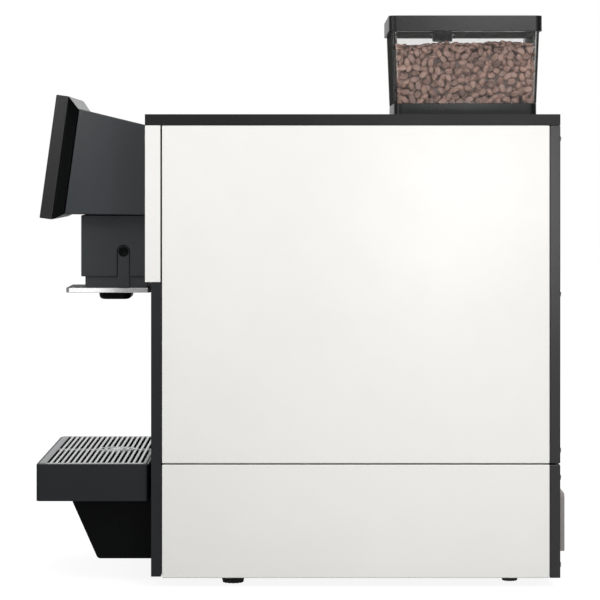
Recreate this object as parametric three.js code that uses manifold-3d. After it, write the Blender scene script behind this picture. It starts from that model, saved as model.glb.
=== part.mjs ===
import * as THREE from "three";
import { mergeVertices } from "three/addons/utils/BufferGeometryUtils.js";
import Module from "manifold-3d";

// A bean to cup coffee machine in millimetres: +Z up, the front faces -Y and the machine's left side is -X.
// The parts are laid out with y = 0 at the front edge of the side panels and x = 0 on the middle plane.
// The whole machine is then shifted along y so that its origin lies under the middle of its outline.

const wasm = await Module();
wasm.setup();

// General clearances and sheet sizes
const gap = 0.3; // between two pieces that rest on each other
const panelGap = 1.8; // joint between casing panels
const overrun = 3; // how far a cut runs past the faces that it goes through
const sheet = 1.5; // folded steel sheet
const plasticWall = 2.5; // moulded covers

// Casing
const machineWidth = 325;
const panelLength = 430; // side panels, front to back
const panelDepth = 14; // folded edge of a side panel
const panelWall = 2;
const footHeight = 11; // ground to the underside of the side panels
const lowerPanelHeight = 125.5;
const upperPanelHeight = 374.8;
const coverThickness = 12.2; // top cover, outside
const coverOverhang = 19; // top cover in front of the side panels
const rearCoverDepth = 11.6;
const seamLip = 1.6; // joint line between the upper and lower panels

// Base, posts and decks
const panFlange = 28; // upstand of the base pan
const panLift = 1.3; // base pan above the side panels' lower edge
const postWidth = 20;
const deckRise = 20.4; // top face of the component deck above the upper panels' lower edge
const deckFlange = 17;
const topFrameDrop = 22; // flange of the top frame

// Levelling feet
const frontFootRadius = 14.6;
const rearFootRadius = 10.6;
const frontFootInset = 43; // from the side of the machine to the middle of the foot
const rearFootInset = 56;
const frontFootSetback = 77.8;
const rearFootRearInset = 40; // in front of the side panels' rear edge
const footStudRadius = 4;
const footStudLength = 24;
const footRibs = 14;
const footRibShare = 0.1; // depth of the grip flutes as a share of the radius
const footToeShare = 0.8; // radius at the ground as a share of the radius

// Door with the white fascia
const doorThickness = 17;
const doorHeight = 173.7;
const doorWall = 2.5;
const linerThickness = 2.3;
const hingePinRadius = 3;
const hingePinInset = 6.5; // pin axis from the left side of the machine
const hingePinSetback = 8; // pin axis in front of the side panels
const hingePinEngagement = 11; // length of pin inside the door
const hingePinReach = 8; // length of pin in the cover above or the wall below

// Splash wall
const splashThickness = 11.2;
const splashRib = 18; // solid border round the pocket in its back
const splashSideInset = 0.5; // from the side of the machine

// Display
const displayWidth = 196;
const displayHeight = 141.1;
const bezelThickness = 14.2;
const bezelRim = 1.6;
const glassThickness = 2;
const displayTilt = 7.87; // degrees, top leaning back
const displayDrop = 103.6; // front lower edge below the door's top edge
const displayReach = 142.4; // front lower edge in front of the side panels
const backTaperDepth = 11.7;
const backTopStep = 12.3; // how far the tapered back closes in at the top
const backBottomStep = 7.5;
const backSideStep = 9;

// Head housing between the display and the door
const headWidth = 176;
const headRise = 1.1; // top edge at the door, above the door's top edge
const headSeam = 0.8; // joint between the head and the spout housing
const headWall = 3;

// Spout
const spoutWidth = 96;
const spoutReach = 99.3; // front face in front of the side panels
const spoutRise = 1.6; // lower edge above the door's lower edge
const spoutHeight = 70.8;
const spoutWall = 4;
const slotWidth = 14;
const slotSetback = 50.6; // middle of the guide slot in front of the side panels
const guidePinRise = 28.8; // above the housing's lower edge
const guidePinRadius = 6.4;
const sliderSlack = 0.5; // sliding clearance round the slider
const sliderHeight = 74;
const mastWidth = 44;
const mastDepth = 26;
const mastHeight = 144; // above the slider's underside
const spoutPlateWidth = 88;
const spoutPlateThickness = 5.8;
const spoutPlateDrop = 11.5; // top face below the door's lower edge
const spoutPlateReach = 117.2;
const spoutPlateCorner = 4;
const nozzleWidth = 58;
const nozzleDepth = 37.3;
const nozzleHeight = 8.1;
const nozzleCorner = 10;
const nozzleRound = 4.8; // rounding of the lower edge
const nozzleOffset = 11.2; // middle of the nozzle in front of the guide slot
const nozzleSpacing = 34;
const nozzleBoreRadius = 2.7;

// Drip tray
const trayWidth = 300;
const trayReach = 140.8; // front face in front of the side panels
const trayDrop = 0.6; // rim below the lower panels' upper edge
const trayHeight = 41.4;
const trayWall = 6;
const trayRim = 3; // wall left outside the grille's seat
const trayCorner = 4; // rounding of the upright edges
const trayFloor = 3;
const trayGap = 3; // between the tray and the splash wall
const grilleThickness = 2;
const grilleProud = 0.9; // grille above the tray's rim
const slotCount = 18;
const slotPitch = 6.15;
const grilleSlot = 3.4;
const firstSlotSetback = 12.8; // first slot behind the tray's front face
const grilleSideMargin = 2.5;
const cupMarkRadius = 22;
const cupMarkSetback = 61.2; // middle of the mark in front of the side panels
const cupMarkHeight = 0.5;
const cupRingDepth = 1.2;
const cupRingShares = [[0.36, 0.52], [0.68, 0.84]]; // inner and outer radius of each groove

// Wedge support under the tray
const supportWidth = 225;
const supportTopReach = 103.5;
const supportToeReach = 75;
const supportLip = 5.5; // upright face at the tray
const supportBottom = 25.2;
const supportCorner = 3;
const supportWall = 3;

// Grounds container
const drawerWidth = 164;
const drawerFrontHeight = 70;
const drawerLength = 185;
const drawerWall = 2.5;
const drawerBodyInset = 4; // container inside the front plate's outline
const drawerSideGap = 0.6;
const gripWidth = 66;
const gripHeight = 15;
const gripDepth = 6;

// Bean hopper
const hopperTopWidth = 169;
const hopperTopLength = 169;
const hopperBottomInset = 3.1; // taper of each side towards the bottom
const hopperHeight = 82;
const hopperWall = 3;
const hopperCorner = 9;
const hopperRearInset = 88.2; // middle of the hopper in front of the side panels' rear edge
const hopperBaseHeight = 13.8;
const hopperFunnelRadius = 60;
const throatRadius = 17;
const spigotRadius = 23;
const spigotDepth = 18;
const lidWidth = 175;
const lidLength = 175;
const lidHeight = 17.4;
const lidWall = 6.5;
const lidTop = 3.4;
const lidCorner = 9;
const lockRadius = 11.7;
const lockDrop = 8; // lock barrel below the lid
const lockOffset = 22; // in front of the lid's middle
const lockBoss = 3;
const beanSideGap = 2.2;
const beanDepth = 64;
const beanCrown = 3;
const beanCrownShare = 0.75; // width of the raised middle as a share of the charge's
const gateThickness = 3;
const gateWidth = 38;
const gateHoleRadius = 16;
const gateTail = 37; // closed stretch behind the gate's hole
const gateSlack = 0.4;

// Grinder
const grinderRadius = 44;
const grinderHeight = 98.9;
const grinderFloor = 12;
const shoulderRise = 2; // outer shoulder above the burr chamber
const grinderWall = 5;
const throatWall = 6;
const burrOuterRadius = 38;
const burrChamberHeight = 44;
const upperBurrHeight = 12;
const lowerBurrHeight = 13;
const burrInnerRadius = 21;
const burrGap = 0.8;
const burrTeeth = 12;
const toothDepth = 2.5;
const toothWidth = 4;
const feedConeRadiusShare = 0.8; // of the burr's inner radius
const feedConeHeightShare = 0.6;
const grinderShaftRadius = 8;
const shaftSeat = 12; // depth of the motor's shaft hole
const grinderMotorRadius = 38;
const grinderMotorFoot = 52; // radius of the mounting flange
const motorNeckShare = 0.8; // of the motor's radius
const flangeThickness = 5;
const chuteWidth = 26;
const chuteHeight = 24;
const chuteWall = 2;
const chuteLowRise = 13.7; // middle of the chute at the brewer, above the cylinder
const chuteHighRise = 14; // middle of the chute at the grinder, above the burr chamber's floor

// Brewer
const brewSetback = 110;
const cylinderRadius = 30;
const cylinderBore = 25;
const cylinderHeight = 76;
const cylinderFloor = 6;
const brewShelfRise = 11.2; // above the grounds container
const brewPlate = 6;
const cheekClearance = 8; // between the grounds container and each cheek
const cheekDepth = 30;
const shelfDepth = 80;
const brewHeadroom = 8; // between the raised crossarm and the top plate
const brewTopDepth = 44;
const pistonHeight = 14;
const pistonLift = 13.7; // underside of the raised piston above the cylinder
const pistonRodRadius = 8;
const pistonRodHeight = 30;
const crossarmHeight = 12;
const crossarmDepth = 20;
const spindleInset = 36; // from the right cheek's outer face
const spindleRadius = 5;
const brewMotorRadius = 24;
const brewMotorHeight = 54;

// Water and power
const boilerRadius = 40;
const boilerHeight = 236;
const boilerInset = 53.2; // middle of the boiler from the inside of the casing
const boilerSetback = 250;
const boilerDome = 16;
const boilerFootShare = 0.8; // radii as shares of the boiler's radius
const boilerShoulderShare = 0.85;
const boilerCrownShare = 0.5;
const pumpX = 70;
const pumpRadius = 15;
const pumpLength = 130;
const pumpSetback = 250;
const coilWidth = 44;
const coilLength = 52;
const coilHeight = 52;
const hoseRadius = 4;
const hoseSides = 8;
const hoseHoleX = -30;
const hoseHoleSetback = 212;
const inletRadius = 9;
const inletCollarRadius = 13.5;
const inletBore = 5.4;
const inletHeight = 60; // axis above the ground
const inletOutside = 11;
const inletInside = 18;
const socketInset = 50.5; // from the left side of the machine
const socketHeight = 58;
const socketFlangeWidth = 50;
const socketFlangeHeight = 30;
const socketBodyWidth = 32;
const socketBodyHeight = 24;
const socketRecessWidth = 24;
const socketRecessHeight = 16;
const socketBodyDepth = 26;
const socketRecessDepth = 16;
const socketBladeWidth = 2;
const socketBladeLength = 9;
const socketBladeSpacing = 6.9;
const switchHeight = 104;
const rockerWidth = 13;
const rockerHeight = 20;
const rockerDepth = 9;
const rockerFaceShare = 0.9; // height of its face as a share of the rocker's height
const rockerBackShare = 0.6;
const rockerSlack = 1; // above and below the rocker
const boardInset = 14.2; // from the inside of the casing
const boardLength = 170;
const boardHeight = 260;
const boardSetback = 140;
const boardThickness = 1.6;
const chipHeight = 6;
const chipShares = [
  // place along the board, place up the board, and size as a share of the board's length
  [0.2, 0.3, 0.16],
  [0.2, 0.7, 0.24],
  [0.55, 0.5, 0.3],
  [0.8, 0.25, 0.14],
  [0.8, 0.75, 0.2],
];
const fanSize = 92;
const fanDepth = 25;
const fanX = 70;
const fanDrop = 82.9; // axis below the side panels' upper edge
const fanBore = 43;
const fanHubRadius = 18;
const fanBladeReach = 40;
const fanBlades = 7;
const fanBladeChord = 16;
const fanBladeThickness = 2;
const fanBladeTwist = 35; // degrees
const fanShaftRadius = 2;
const fanArmWidth = 6;
const fanArmDepth = 3.5;
const ventSlots = 8;
const ventSlotHeight = 4;
const ventSlotWidth = 80;

// Connection cover low on the back
const connectionWidth = 85;
const connectionHeight = 67.2;
const connectionBottom = 23.4;
const connectionDepth = 16.6;
const connectionCorner = 6;

// Places that follow from the sizes
const halfWidth = machineWidth / 2;
const lowerPanelTop = footHeight + lowerPanelHeight;
const upperPanelBottom = lowerPanelTop + seamLip;
const upperPanelTop = upperPanelBottom + upperPanelHeight;
const deckHeight = upperPanelBottom + deckRise;
const rearFootSetback = panelLength - rearFootRearInset;
const hopperSetback = panelLength - hopperRearInset;
const lockSetback = hopperSetback - lockOffset;
const coverBottom = upperPanelTop + gap;
const coverTop = coverBottom + coverThickness;
const rearCoverFront = panelLength + gap;
const rearCoverBack = rearCoverFront + rearCoverDepth;
const coverFront = -coverOverhang;
const doorBack = -panelGap;
const doorFront = doorBack - doorThickness;
const doorTop = upperPanelTop;
const doorBottom = doorTop - doorHeight;
const splashBack = -1;
const splashFront = splashBack - splashThickness;
const splashTop = doorBottom - gap;
const splashBottom = footHeight + panLift;
const innerHalf = halfWidth - panelDepth - gap;
const panBottom = footHeight + panLift;
const panFloor = panBottom + sheet;
const panTop = panBottom + panFlange;
const deckBottom = deckHeight - sheet;
const frameFront = splashBack + gap + panelGap;
const postFront = frameFront + sheet;
const postBack = postFront + postWidth;
const postOuter = innerHalf - sheet - gap;
const topFrameTop = upperPanelTop - panelWall;
const topFrameBottom = topFrameTop - topFrameDrop;
const postTop = topFrameTop - sheet - gap;
const hingeX = -halfWidth + hingePinInset;
const hingeY = -hingePinSetback;
const spoutBottom = doorBottom + spoutRise;
const spoutTop = spoutBottom + spoutHeight;
const spoutPlateTop = doorBottom - spoutPlateDrop;
const guidePinHeight = spoutBottom + guidePinRise;
const displayBottom = doorTop - displayDrop;
const headDoorTop = doorTop + headRise;
const headDoorBottom = spoutTop + headSeam;
const headBack = doorFront - gap;
const sliderBottom = spoutPlateTop + gap;
const mastTop = sliderBottom + mastHeight;
const spoutBack = doorFront - gap;
const plateBottom = spoutPlateTop - spoutPlateThickness;
const nozzleTop = plateBottom - gap;
const trayFront = -trayReach;
const trayBack = splashFront - trayGap;
const trayTop = lowerPanelTop - trayDrop;
const trayBottom = trayTop - trayHeight;
const grilleTop = trayTop + grilleProud;
const grilleBottom = grilleTop - grilleThickness;
const drawerBottom = deckHeight + gap;
const drawerTop = drawerBottom + drawerFrontHeight;
const hopperBaseBottom = coverTop + gap;
const hopperBaseTop = hopperBaseBottom + hopperBaseHeight;
const hopperBottom = hopperBaseTop + gap;
const hopperTop = hopperBottom + hopperHeight;
const lidBottom = hopperTop + gap;
const brewShelfHeight = drawerTop + brewShelfRise;
const brewSpan = drawerWidth + 2 * (cheekClearance + brewPlate); // over both cheeks
const chamberBase = brewShelfHeight + brewPlate + gap;
const cylinderTop = chamberBase + cylinderHeight;
const pistonRest = cylinderTop + pistonLift;
const pistonRodTop = pistonRest + pistonHeight + pistonRodHeight;
const brewTopHeight = pistonRodTop + crossarmHeight + brewHeadroom;
const spindleOffset = brewSpan / 2 - spindleInset;
const grinderBottom = topFrameTop - grinderHeight;
const burrChamberBottom = grinderBottom + grinderFloor;
const burrChamberTop = burrChamberBottom + burrChamberHeight;
const grinderShoulder = burrChamberTop + shoulderRise;
const motorTop = grinderBottom - gap;
const chuteLowEnd = cylinderTop + chuteLowRise;
const chuteHighEnd = burrChamberBottom + chuteHighRise;
const boilerX = boilerInset - innerHalf;
const socketX = socketInset - halfWidth;
const boardX = innerHalf - boardInset;
const fanHeight = upperPanelTop - fanDrop;
const fanBack = rearCoverBack - plasticWall - gap;
const fanFront = fanBack - fanDepth;

const paint = {
  whitePanel: finish(0xf1f0ec, 0.35, 0),
  topCover: finish(0x2c2c2d, 0.45, 0),
  anthracite: finish(0x3f4446, 0.42, 0),
  darkPlastic: finish(0x24282a, 0.5, 0),
  blackPlastic: finish(0x101214, 0.4, 0),
  displayGlass: finish(0x07080a, 0.05, 0),
  brightPlate: finish(0xe6e6e6, 0.15, 1),
  steel: finish(0xb9bbbc, 0.3, 1),
  darkSteel: finish(0x6c7072, 0.4, 1),
  clearPlastic: finish(0x9a9a9a, 0.08, 0),
  lid: finish(0x505052, 0.3, 0),
  beans: finish(0x5f4238, 0.45, 0),
  taupe: finish(0x878380, 0.6, 0),
  rubber: finish(0x1a1b1c, 0.8, 0),
  brass: finish(0xb08d3e, 0.3, 1),
  board: finish(0x1f5a36, 0.5, 0),
  hose: finish(0xd9d6cd, 0.5, 0),
};

function finish(color, roughness, metalness) {
  return new THREE.MeshStandardMaterial({ color, roughness, metalness });
}

// Shapes

// A box between the lowest and highest value on each axis.
function block([x0, x1], [y0, y1], [z0, z1]) {
  const shape = new THREE.BoxGeometry(x1 - x0, y1 - y0, z1 - z0);
  return shape.translate((x0 + x1) / 2, (y0 + y1) / 2, (z0 + z1) / 2);
}

// A range of the given width about a middle value.
function about(middle, width) {
  return [middle - width / 2, middle + width / 2];
}

function outlineShape(points) {
  return new THREE.Shape(points.map(([a, b]) => new THREE.Vector2(a, b)));
}

// An outline in (y, z) drawn out along x.
function alongX(points, [x0, x1]) {
  const shape = points instanceof THREE.Shape ? points : outlineShape(points);
  const solid = new THREE.ExtrudeGeometry(shape, { depth: x1 - x0, bevelEnabled: false, curveSegments: 6 });
  const turn = new THREE.Matrix4().makeBasis(
    new THREE.Vector3(0, 1, 0),
    new THREE.Vector3(0, 0, 1),
    new THREE.Vector3(1, 0, 0),
  );
  return solid.applyMatrix4(turn).translate(x0, 0, 0);
}

// An outline in (x, y) drawn out upwards.
function alongZ(shape, [z0, z1]) {
  const solid = new THREE.ExtrudeGeometry(shape, { depth: z1 - z0, bevelEnabled: false, curveSegments: 5 });
  return solid.translate(0, 0, z0);
}

// The same with its lower and upper edges rounded.
function roundEnded(shape, [z0, z1], r) {
  const solid = new THREE.ExtrudeGeometry(shape, {
    depth: z1 - z0 - 2 * r,
    bevelThickness: r,
    bevelSize: r,
    bevelOffset: -r,
    bevelSegments: 3,
    curveSegments: 5,
  });
  return solid.translate(0, 0, z0 + r);
}

// A rectangle with round corners in the plane of its outline.
function roundedRectangle([a0, a1], [b0, b1], r) {
  const shape = new THREE.Shape();
  shape.moveTo(a0 + r, b0);
  shape.lineTo(a1 - r, b0);
  shape.absarc(a1 - r, b0 + r, r, -Math.PI / 2, 0, false);
  shape.lineTo(a1, b1 - r);
  shape.absarc(a1 - r, b1 - r, r, 0, Math.PI / 2, false);
  shape.lineTo(a0 + r, b1);
  shape.absarc(a0 + r, b1 - r, r, Math.PI / 2, Math.PI, false);
  shape.lineTo(a0, b0 + r);
  shape.absarc(a0 + r, b0 + r, r, Math.PI, Math.PI * 1.5, false);
  return shape;
}

// A turned shape about an upright axis; the profile lists radius and height from the bottom up.
function turned(profile, [x, y], sides = 32) {
  const points = profile.map(([r, z]) => new THREE.Vector2(r, z));
  const solid = new THREE.LatheGeometry(points, sides);
  return solid.rotateX(Math.PI / 2).translate(x, y, 0);
}

// A plain upright rod.
function rod(r, [z0, z1], [x, y], sides = 24) {
  return turned([[0, z0], [r, z0], [r, z1], [0, z1]], [x, y], sides);
}

// A rod along x or along y.
function rodAlongX(r, [x0, x1], [y, z], sides = 24) {
  const solid = new THREE.CylinderGeometry(r, r, x1 - x0, sides);
  return solid.rotateZ(Math.PI / 2).translate((x0 + x1) / 2, y, z);
}

function rodAlongY(r, [y0, y1], [x, z], sides = 24) {
  const solid = new THREE.CylinderGeometry(r, r, y1 - y0, sides);
  return solid.translate(x, (y0 + y1) / 2, z);
}

// Narrows a solid about an upright axis, from full size at the top to less at the bottom.
function taperDown(solid, [x, y], [z0, z1], [shareX, shareY]) {
  const place = solid.attributes.position;
  for (let i = 0; i < place.count; i++) {
    const down = (z1 - place.getZ(i)) / (z1 - z0);
    place.setX(i, x + (place.getX(i) - x) * (1 - down * (1 - shareX)));
    place.setY(i, y + (place.getY(i) - y) * (1 - down * (1 - shareY)));
  }
  return solid;
}

// Joining and cutting

function toSolid(geometry) {
  const bare = geometry.clone();
  bare.deleteAttribute("normal");
  bare.deleteAttribute("uv");
  const merged = mergeVertices(bare);
  return new wasm.Manifold(
    new wasm.Mesh({
      numProp: 3,
      vertProperties: merged.attributes.position.array,
      triVerts: new Uint32Array(merged.index.array),
    }),
  );
}

function toGeometry(solid) {
  const mesh = solid.getMesh();
  const geometry = new THREE.BufferGeometry();
  geometry.setAttribute("position", new THREE.BufferAttribute(mesh.vertProperties, mesh.numProp));
  geometry.setIndex(new THREE.BufferAttribute(mesh.triVerts, 1));
  const flat = geometry.toNonIndexed();
  flat.computeVertexNormals();
  return flat;
}

function cut(from, ...tools) {
  return toGeometry(tools.reduce((rest, tool) => rest.subtract(toSolid(tool)), toSolid(from)));
}

function join(first, ...others) {
  return toGeometry(others.reduce((whole, piece) => whole.add(toSolid(piece)), toSolid(first)));
}

function named(name, geometry, material) {
  const mesh = new THREE.Mesh(geometry, material);
  mesh.name = name;
  return mesh;
}

function assembly(...children) {
  const group = new THREE.Group();
  group.add(...children);
  return group;
}

// Casing

// A side panel is a shallow folded tray whose open side faces the machine's middle.
function sidePanel(name, side, [bottom, top]) {
  const outside = block([halfWidth - panelDepth, halfWidth], [0, panelLength], [bottom, top]);
  const inside = block(
    [halfWidth - panelDepth - overrun, halfWidth - panelWall],
    [panelWall, panelLength - panelWall],
    [bottom + panelWall, top - panelWall],
  );
  const panel = cut(outside, inside);
  if (side < 0) {
    panel.rotateZ(Math.PI).translate(0, panelLength, 0);
  }
  return named(name, panel, paint.whitePanel);
}

function sidePanels() {
  const rows = [
    ["upper", [upperPanelBottom, upperPanelTop]],
    ["lower", [footHeight, lowerPanelTop]],
  ];
  const sides = [["left", -1], ["right", 1]];
  return rows.flatMap(([row, span]) =>
    sides.map(([word, side]) => sidePanel(`side_panel_${word}_${row}`, side, span)),
  );
}

// The top cover is a tray turned over, with a boss that holds the door's upper hinge pin.
function topCover() {
  const span = [-halfWidth, halfWidth];
  const outside = block(span, [coverFront, rearCoverBack], [coverBottom, coverTop]);
  const pocket = block(
    [-halfWidth + plasticWall, halfWidth - plasticWall],
    [coverFront + plasticWall, rearCoverBack - plasticWall],
    [coverBottom - overrun, coverTop - plasticWall],
  );
  const bossWidth = 4 * hingePinRadius;
  const boss = block(
    about(hingeX, bossWidth),
    [coverFront + plasticWall / 2, hingeY + bossWidth / 2],
    [coverBottom, coverTop - plasticWall / 2],
  );
  const throat = rod(
    spigotRadius + panelGap,
    [coverBottom - overrun, coverTop + overrun],
    [0, hopperSetback],
  );
  const pinHole = rod(
    hingePinRadius + gap,
    [coverBottom - overrun, coverBottom + hingePinReach + gap],
    [hingeX, hingeY],
    16,
  );
  const shell = join(cut(outside, pocket), boss);
  return named("top_cover", cut(shell, throat, pinHole), paint.topCover);
}

function rearCover(name, [bottom, top], openings) {
  const outside = block([-halfWidth, halfWidth], [rearCoverFront, rearCoverBack], [bottom, top]);
  const pocket = block(
    [-halfWidth + plasticWall, halfWidth - plasticWall],
    [rearCoverFront - overrun, rearCoverBack - plasticWall],
    [bottom + plasticWall, top - plasticWall],
  );
  return named(name, cut(outside, pocket, ...openings), paint.darkPlastic);
}

function throughRear(spanX, spanZ) {
  return block(spanX, [rearCoverBack - plasticWall - overrun, rearCoverBack + overrun], spanZ);
}

function rearCovers() {
  const vents = [];
  const ventPitch = fanSize / ventSlots;
  for (let i = 0; i < ventSlots; i++) {
    const height = fanHeight - fanSize / 2 + ventPitch * (i + 0.5);
    vents.push(throughRear(about(fanX, ventSlotWidth), about(height, ventSlotHeight)));
  }
  const inletHole = rodAlongY(
    inletRadius + gap,
    [rearCoverBack - plasticWall - overrun, rearCoverBack + overrun],
    [0, inletHeight],
  );
  const socketHole = throughRear(
    about(socketX, socketBodyWidth + 2 * gap),
    about(socketHeight, socketBodyHeight + 2 * gap),
  );
  const switchHole = throughRear(
    about(socketX, rockerWidth + 2 * gap),
    about(switchHeight, rockerHeight + 2 * rockerSlack),
  );
  return [
    rearCover("rear_cover_upper", [upperPanelBottom, upperPanelTop], vents),
    rearCover("rear_cover_lower", [footHeight, lowerPanelTop], [inletHole, socketHole, switchHole]),
  ];
}

// The grey cover over the water connection: a shell open to the machine and at the bottom.
function connectionCover() {
  const front = rearCoverBack + gap;
  const back = front + connectionDepth;
  const top = connectionBottom + connectionHeight;
  const half = connectionWidth / 2;
  const r = connectionCorner;
  const shell = (inset, low) => {
    const outline = new THREE.Shape();
    outline.moveTo(-half + inset, low);
    outline.lineTo(-half + inset, top - r);
    outline.absarc(-half + r, top - r, r - inset, Math.PI, Math.PI / 2, true);
    outline.lineTo(half - r, top - inset);
    outline.absarc(half - r, top - r, r - inset, Math.PI / 2, 0, true);
    outline.lineTo(half - inset, low);
    return outline;
  };
  const upright = (shape, [y0, y1]) => alongZ(shape, [-y1, -y0]).rotateX(Math.PI / 2);
  const outside = upright(shell(0, connectionBottom), [front, back]);
  const inside = upright(
    shell(plasticWall, connectionBottom - overrun),
    [front - overrun, back - plasticWall],
  );
  return named("connection_cover", cut(outside, inside), paint.taupe);
}

// The splash wall is a thick plate with a pocket in its back and a window for the grounds drawer.
function splashWall() {
  const half = halfWidth - splashSideInset;
  const outside = block([-half, half], [splashFront, splashBack], [splashBottom, splashTop]);
  const windowSide = drawerWidth / 2 + drawerSideGap;
  const windowSpan = [drawerBottom - drawerSideGap, drawerTop + drawerSideGap];
  const drawerWindow = block(
    [-windowSide, windowSide],
    [splashFront - overrun, splashBack + overrun],
    windowSpan,
  );
  const pocketX = [-half + splashRib, half - splashRib];
  const pocketY = [splashFront + plasticWall, splashBack + overrun];
  const upperPocket = block(pocketX, pocketY, [windowSpan[1] + plasticWall, splashTop - splashRib]);
  const lowerPocket = block(pocketX, pocketY, [splashBottom + splashRib, windowSpan[0] - plasticWall]);
  const pinHole = rod(
    hingePinRadius + gap,
    [splashTop - hingePinReach - gap, splashTop + overrun],
    [hingeX, hingeY],
    16,
  );
  return named(
    "splash_wall",
    cut(outside, drawerWindow, upperPocket, lowerPocket, pinHole),
    paint.darkPlastic,
  );
}

// Frame

const feet = [
  ["front_left", -1, frontFootRadius, frontFootInset, frontFootSetback],
  ["front_right", 1, frontFootRadius, frontFootInset, frontFootSetback],
  ["rear_left", -1, rearFootRadius, rearFootInset, rearFootSetback],
  ["rear_right", 1, rearFootRadius, rearFootInset, rearFootSetback],
];

function basePan() {
  const outside = block([-innerHalf, innerHalf], [frameFront, panelLength], [panBottom, panTop]);
  const inside = block(
    [-innerHalf + sheet, innerHalf - sheet],
    [postFront, panelLength - sheet],
    [panFloor, panTop + overrun],
  );
  const holes = feet.map(([, side, , inset, setback]) =>
    rod(
      footStudRadius + gap,
      [panBottom - overrun, panFloor + overrun],
      [side * (halfWidth - inset), setback],
      16,
    ),
  );
  return named("base_pan", cut(outside, inside, ...holes), paint.steel);
}

// A levelling foot is a fluted pad that narrows to the ground, with a threaded stud into the base pan.
function levellingFoot([word, side, radius, inset, setback]) {
  const rim = [];
  const steps = footRibs * 4;
  for (let i = 0; i < steps; i++) {
    const angle = (i / steps) * 2 * Math.PI;
    const flute = i % 4 < 2 ? 1 : 1 - footRibShare;
    rim.push([radius * flute * Math.cos(angle), radius * flute * Math.sin(angle)]);
  }
  const padTop = panBottom - gap;
  const pad = alongZ(outlineShape(rim), [0, padTop]);
  taperDown(pad, [0, 0], [0, padTop], [footToeShare, footToeShare]);
  const stud = rod(footStudRadius, [padTop - panLift, padTop + footStudLength], [0, 0], 12);
  const foot = join(pad, stud).translate(side * (halfWidth - inset), setback, 0);
  return named(`levelling_foot_${word}`, foot, paint.rubber);
}

// A front post is a channel whose open side faces the machine's middle.
function frontPost(name, side) {
  const outside = block(
    [postOuter - postWidth, postOuter],
    [postFront + gap, postBack],
    [panFloor + gap, postTop],
  );
  const inside = block(
    [postOuter - postWidth - overrun, postOuter - sheet],
    [postFront + gap + sheet, postBack - sheet],
    [panFloor + gap + sheet, postTop - sheet],
  );
  const post = cut(outside, inside);
  if (side < 0) {
    post.rotateZ(Math.PI).translate(0, postFront + gap + postBack, 0);
  }
  return named(name, post, paint.steel);
}

function componentDeck() {
  const front = postBack + gap;
  const outside = block([-innerHalf, innerHalf], [front, panelLength], [deckHeight - deckFlange, deckHeight]);
  const inside = block(
    [-innerHalf + sheet, innerHalf - sheet],
    [front + sheet, panelLength - sheet],
    [deckHeight - deckFlange - overrun, deckBottom],
  );
  const hoseHole = rod(
    hoseRadius * 2,
    [deckBottom - overrun, deckHeight + overrun],
    [hoseHoleX, hoseHoleSetback],
    16,
  );
  return named("component_deck", cut(outside, inside, hoseHole), paint.steel);
}

function topFrame() {
  const outside = block(
    [-innerHalf, innerHalf],
    [frameFront, panelLength],
    [topFrameBottom, topFrameTop],
  );
  const inside = block(
    [-innerHalf + sheet, innerHalf - sheet],
    [postFront, panelLength - sheet],
    [topFrameBottom - overrun, topFrameTop - sheet],
  );
  const throat = rod(
    spigotRadius + throatWall + panelGap,
    [topFrameBottom, topFrameTop + overrun],
    [0, hopperSetback],
  );
  return named("top_frame", cut(outside, inside, throat), paint.steel);
}

function frame() {
  return [
    basePan(),
    ...feet.map(levellingFoot),
    frontPost("front_post_left", -1),
    frontPost("front_post_right", 1),
    componentDeck(),
    topFrame(),
  ];
}

// Door

// The door's rear left corner is round about the hinge pin, so that it turns clear of the side panel.
function doorPanel() {
  const r = hingePinSetback - panelGap;
  const outline = new THREE.Shape();
  outline.moveTo(-halfWidth, doorFront);
  outline.lineTo(halfWidth, doorFront);
  outline.lineTo(halfWidth, doorBack);
  outline.lineTo(-halfWidth + r, doorBack);
  outline.absarc(-halfWidth + r, doorBack - r, r, Math.PI / 2, Math.PI, false);
  const outside = alongZ(outline, [doorBottom, doorTop]);
  const pocket = block(
    doorPocketSpan(),
    [doorFront + doorWall, doorBack + overrun],
    [doorBottom + doorWall, doorTop - doorWall],
  );
  const pinHole = (z0, z1) => rod(hingePinRadius + gap, [z0, z1], [hingeX, hingeY], 16);
  const upperHole = pinHole(doorTop - hingePinEngagement - gap, doorTop + overrun);
  const lowerHole = pinHole(doorBottom - overrun, doorBottom + hingePinEngagement + gap);
  return named("door_panel", cut(outside, pocket, upperHole, lowerHole), paint.whitePanel);
}

function doorPocketSpan() {
  return [hingeX + 2 * hingePinRadius + doorWall, halfWidth - doorWall];
}

function doorLiner() {
  const [low, high] = doorPocketSpan();
  const liner = block(
    [low + gap, high - gap],
    [doorBack - linerThickness, doorBack],
    [doorBottom + doorWall + gap, doorTop - doorWall - gap],
  );
  return named("door_liner", liner, paint.darkPlastic);
}

function hingePins() {
  const pin = (name, span) => named(name, rod(hingePinRadius, span, [hingeX, hingeY], 16), paint.steel);
  return [
    pin("door_hinge_pin_upper", [doorTop - hingePinEngagement, coverBottom + hingePinReach]),
    pin("door_hinge_pin_lower", [splashTop - hingePinReach, doorBottom + hingePinEngagement]),
  ];
}

// The display's parts are made upright, with their front lower edge on the x axis, and then tilted.
function displayBezel() {
  const half = displayWidth / 2;
  const outside = block([-half, half], [0, bezelThickness], [0, displayHeight]);
  const glassSeat = block(
    [-half + bezelRim, half - bezelRim],
    [-overrun, glassThickness + gap],
    [bezelRim, displayHeight - bezelRim],
  );
  return named("display_bezel", cut(outside, glassSeat), paint.blackPlastic);
}

function displayGlass() {
  const half = displayWidth / 2 - bezelRim - gap;
  const span = [bezelRim + gap, displayHeight - bezelRim - gap];
  return named("display_glass", block([-half, half], [0, glassThickness], span), paint.displayGlass);
}

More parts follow.
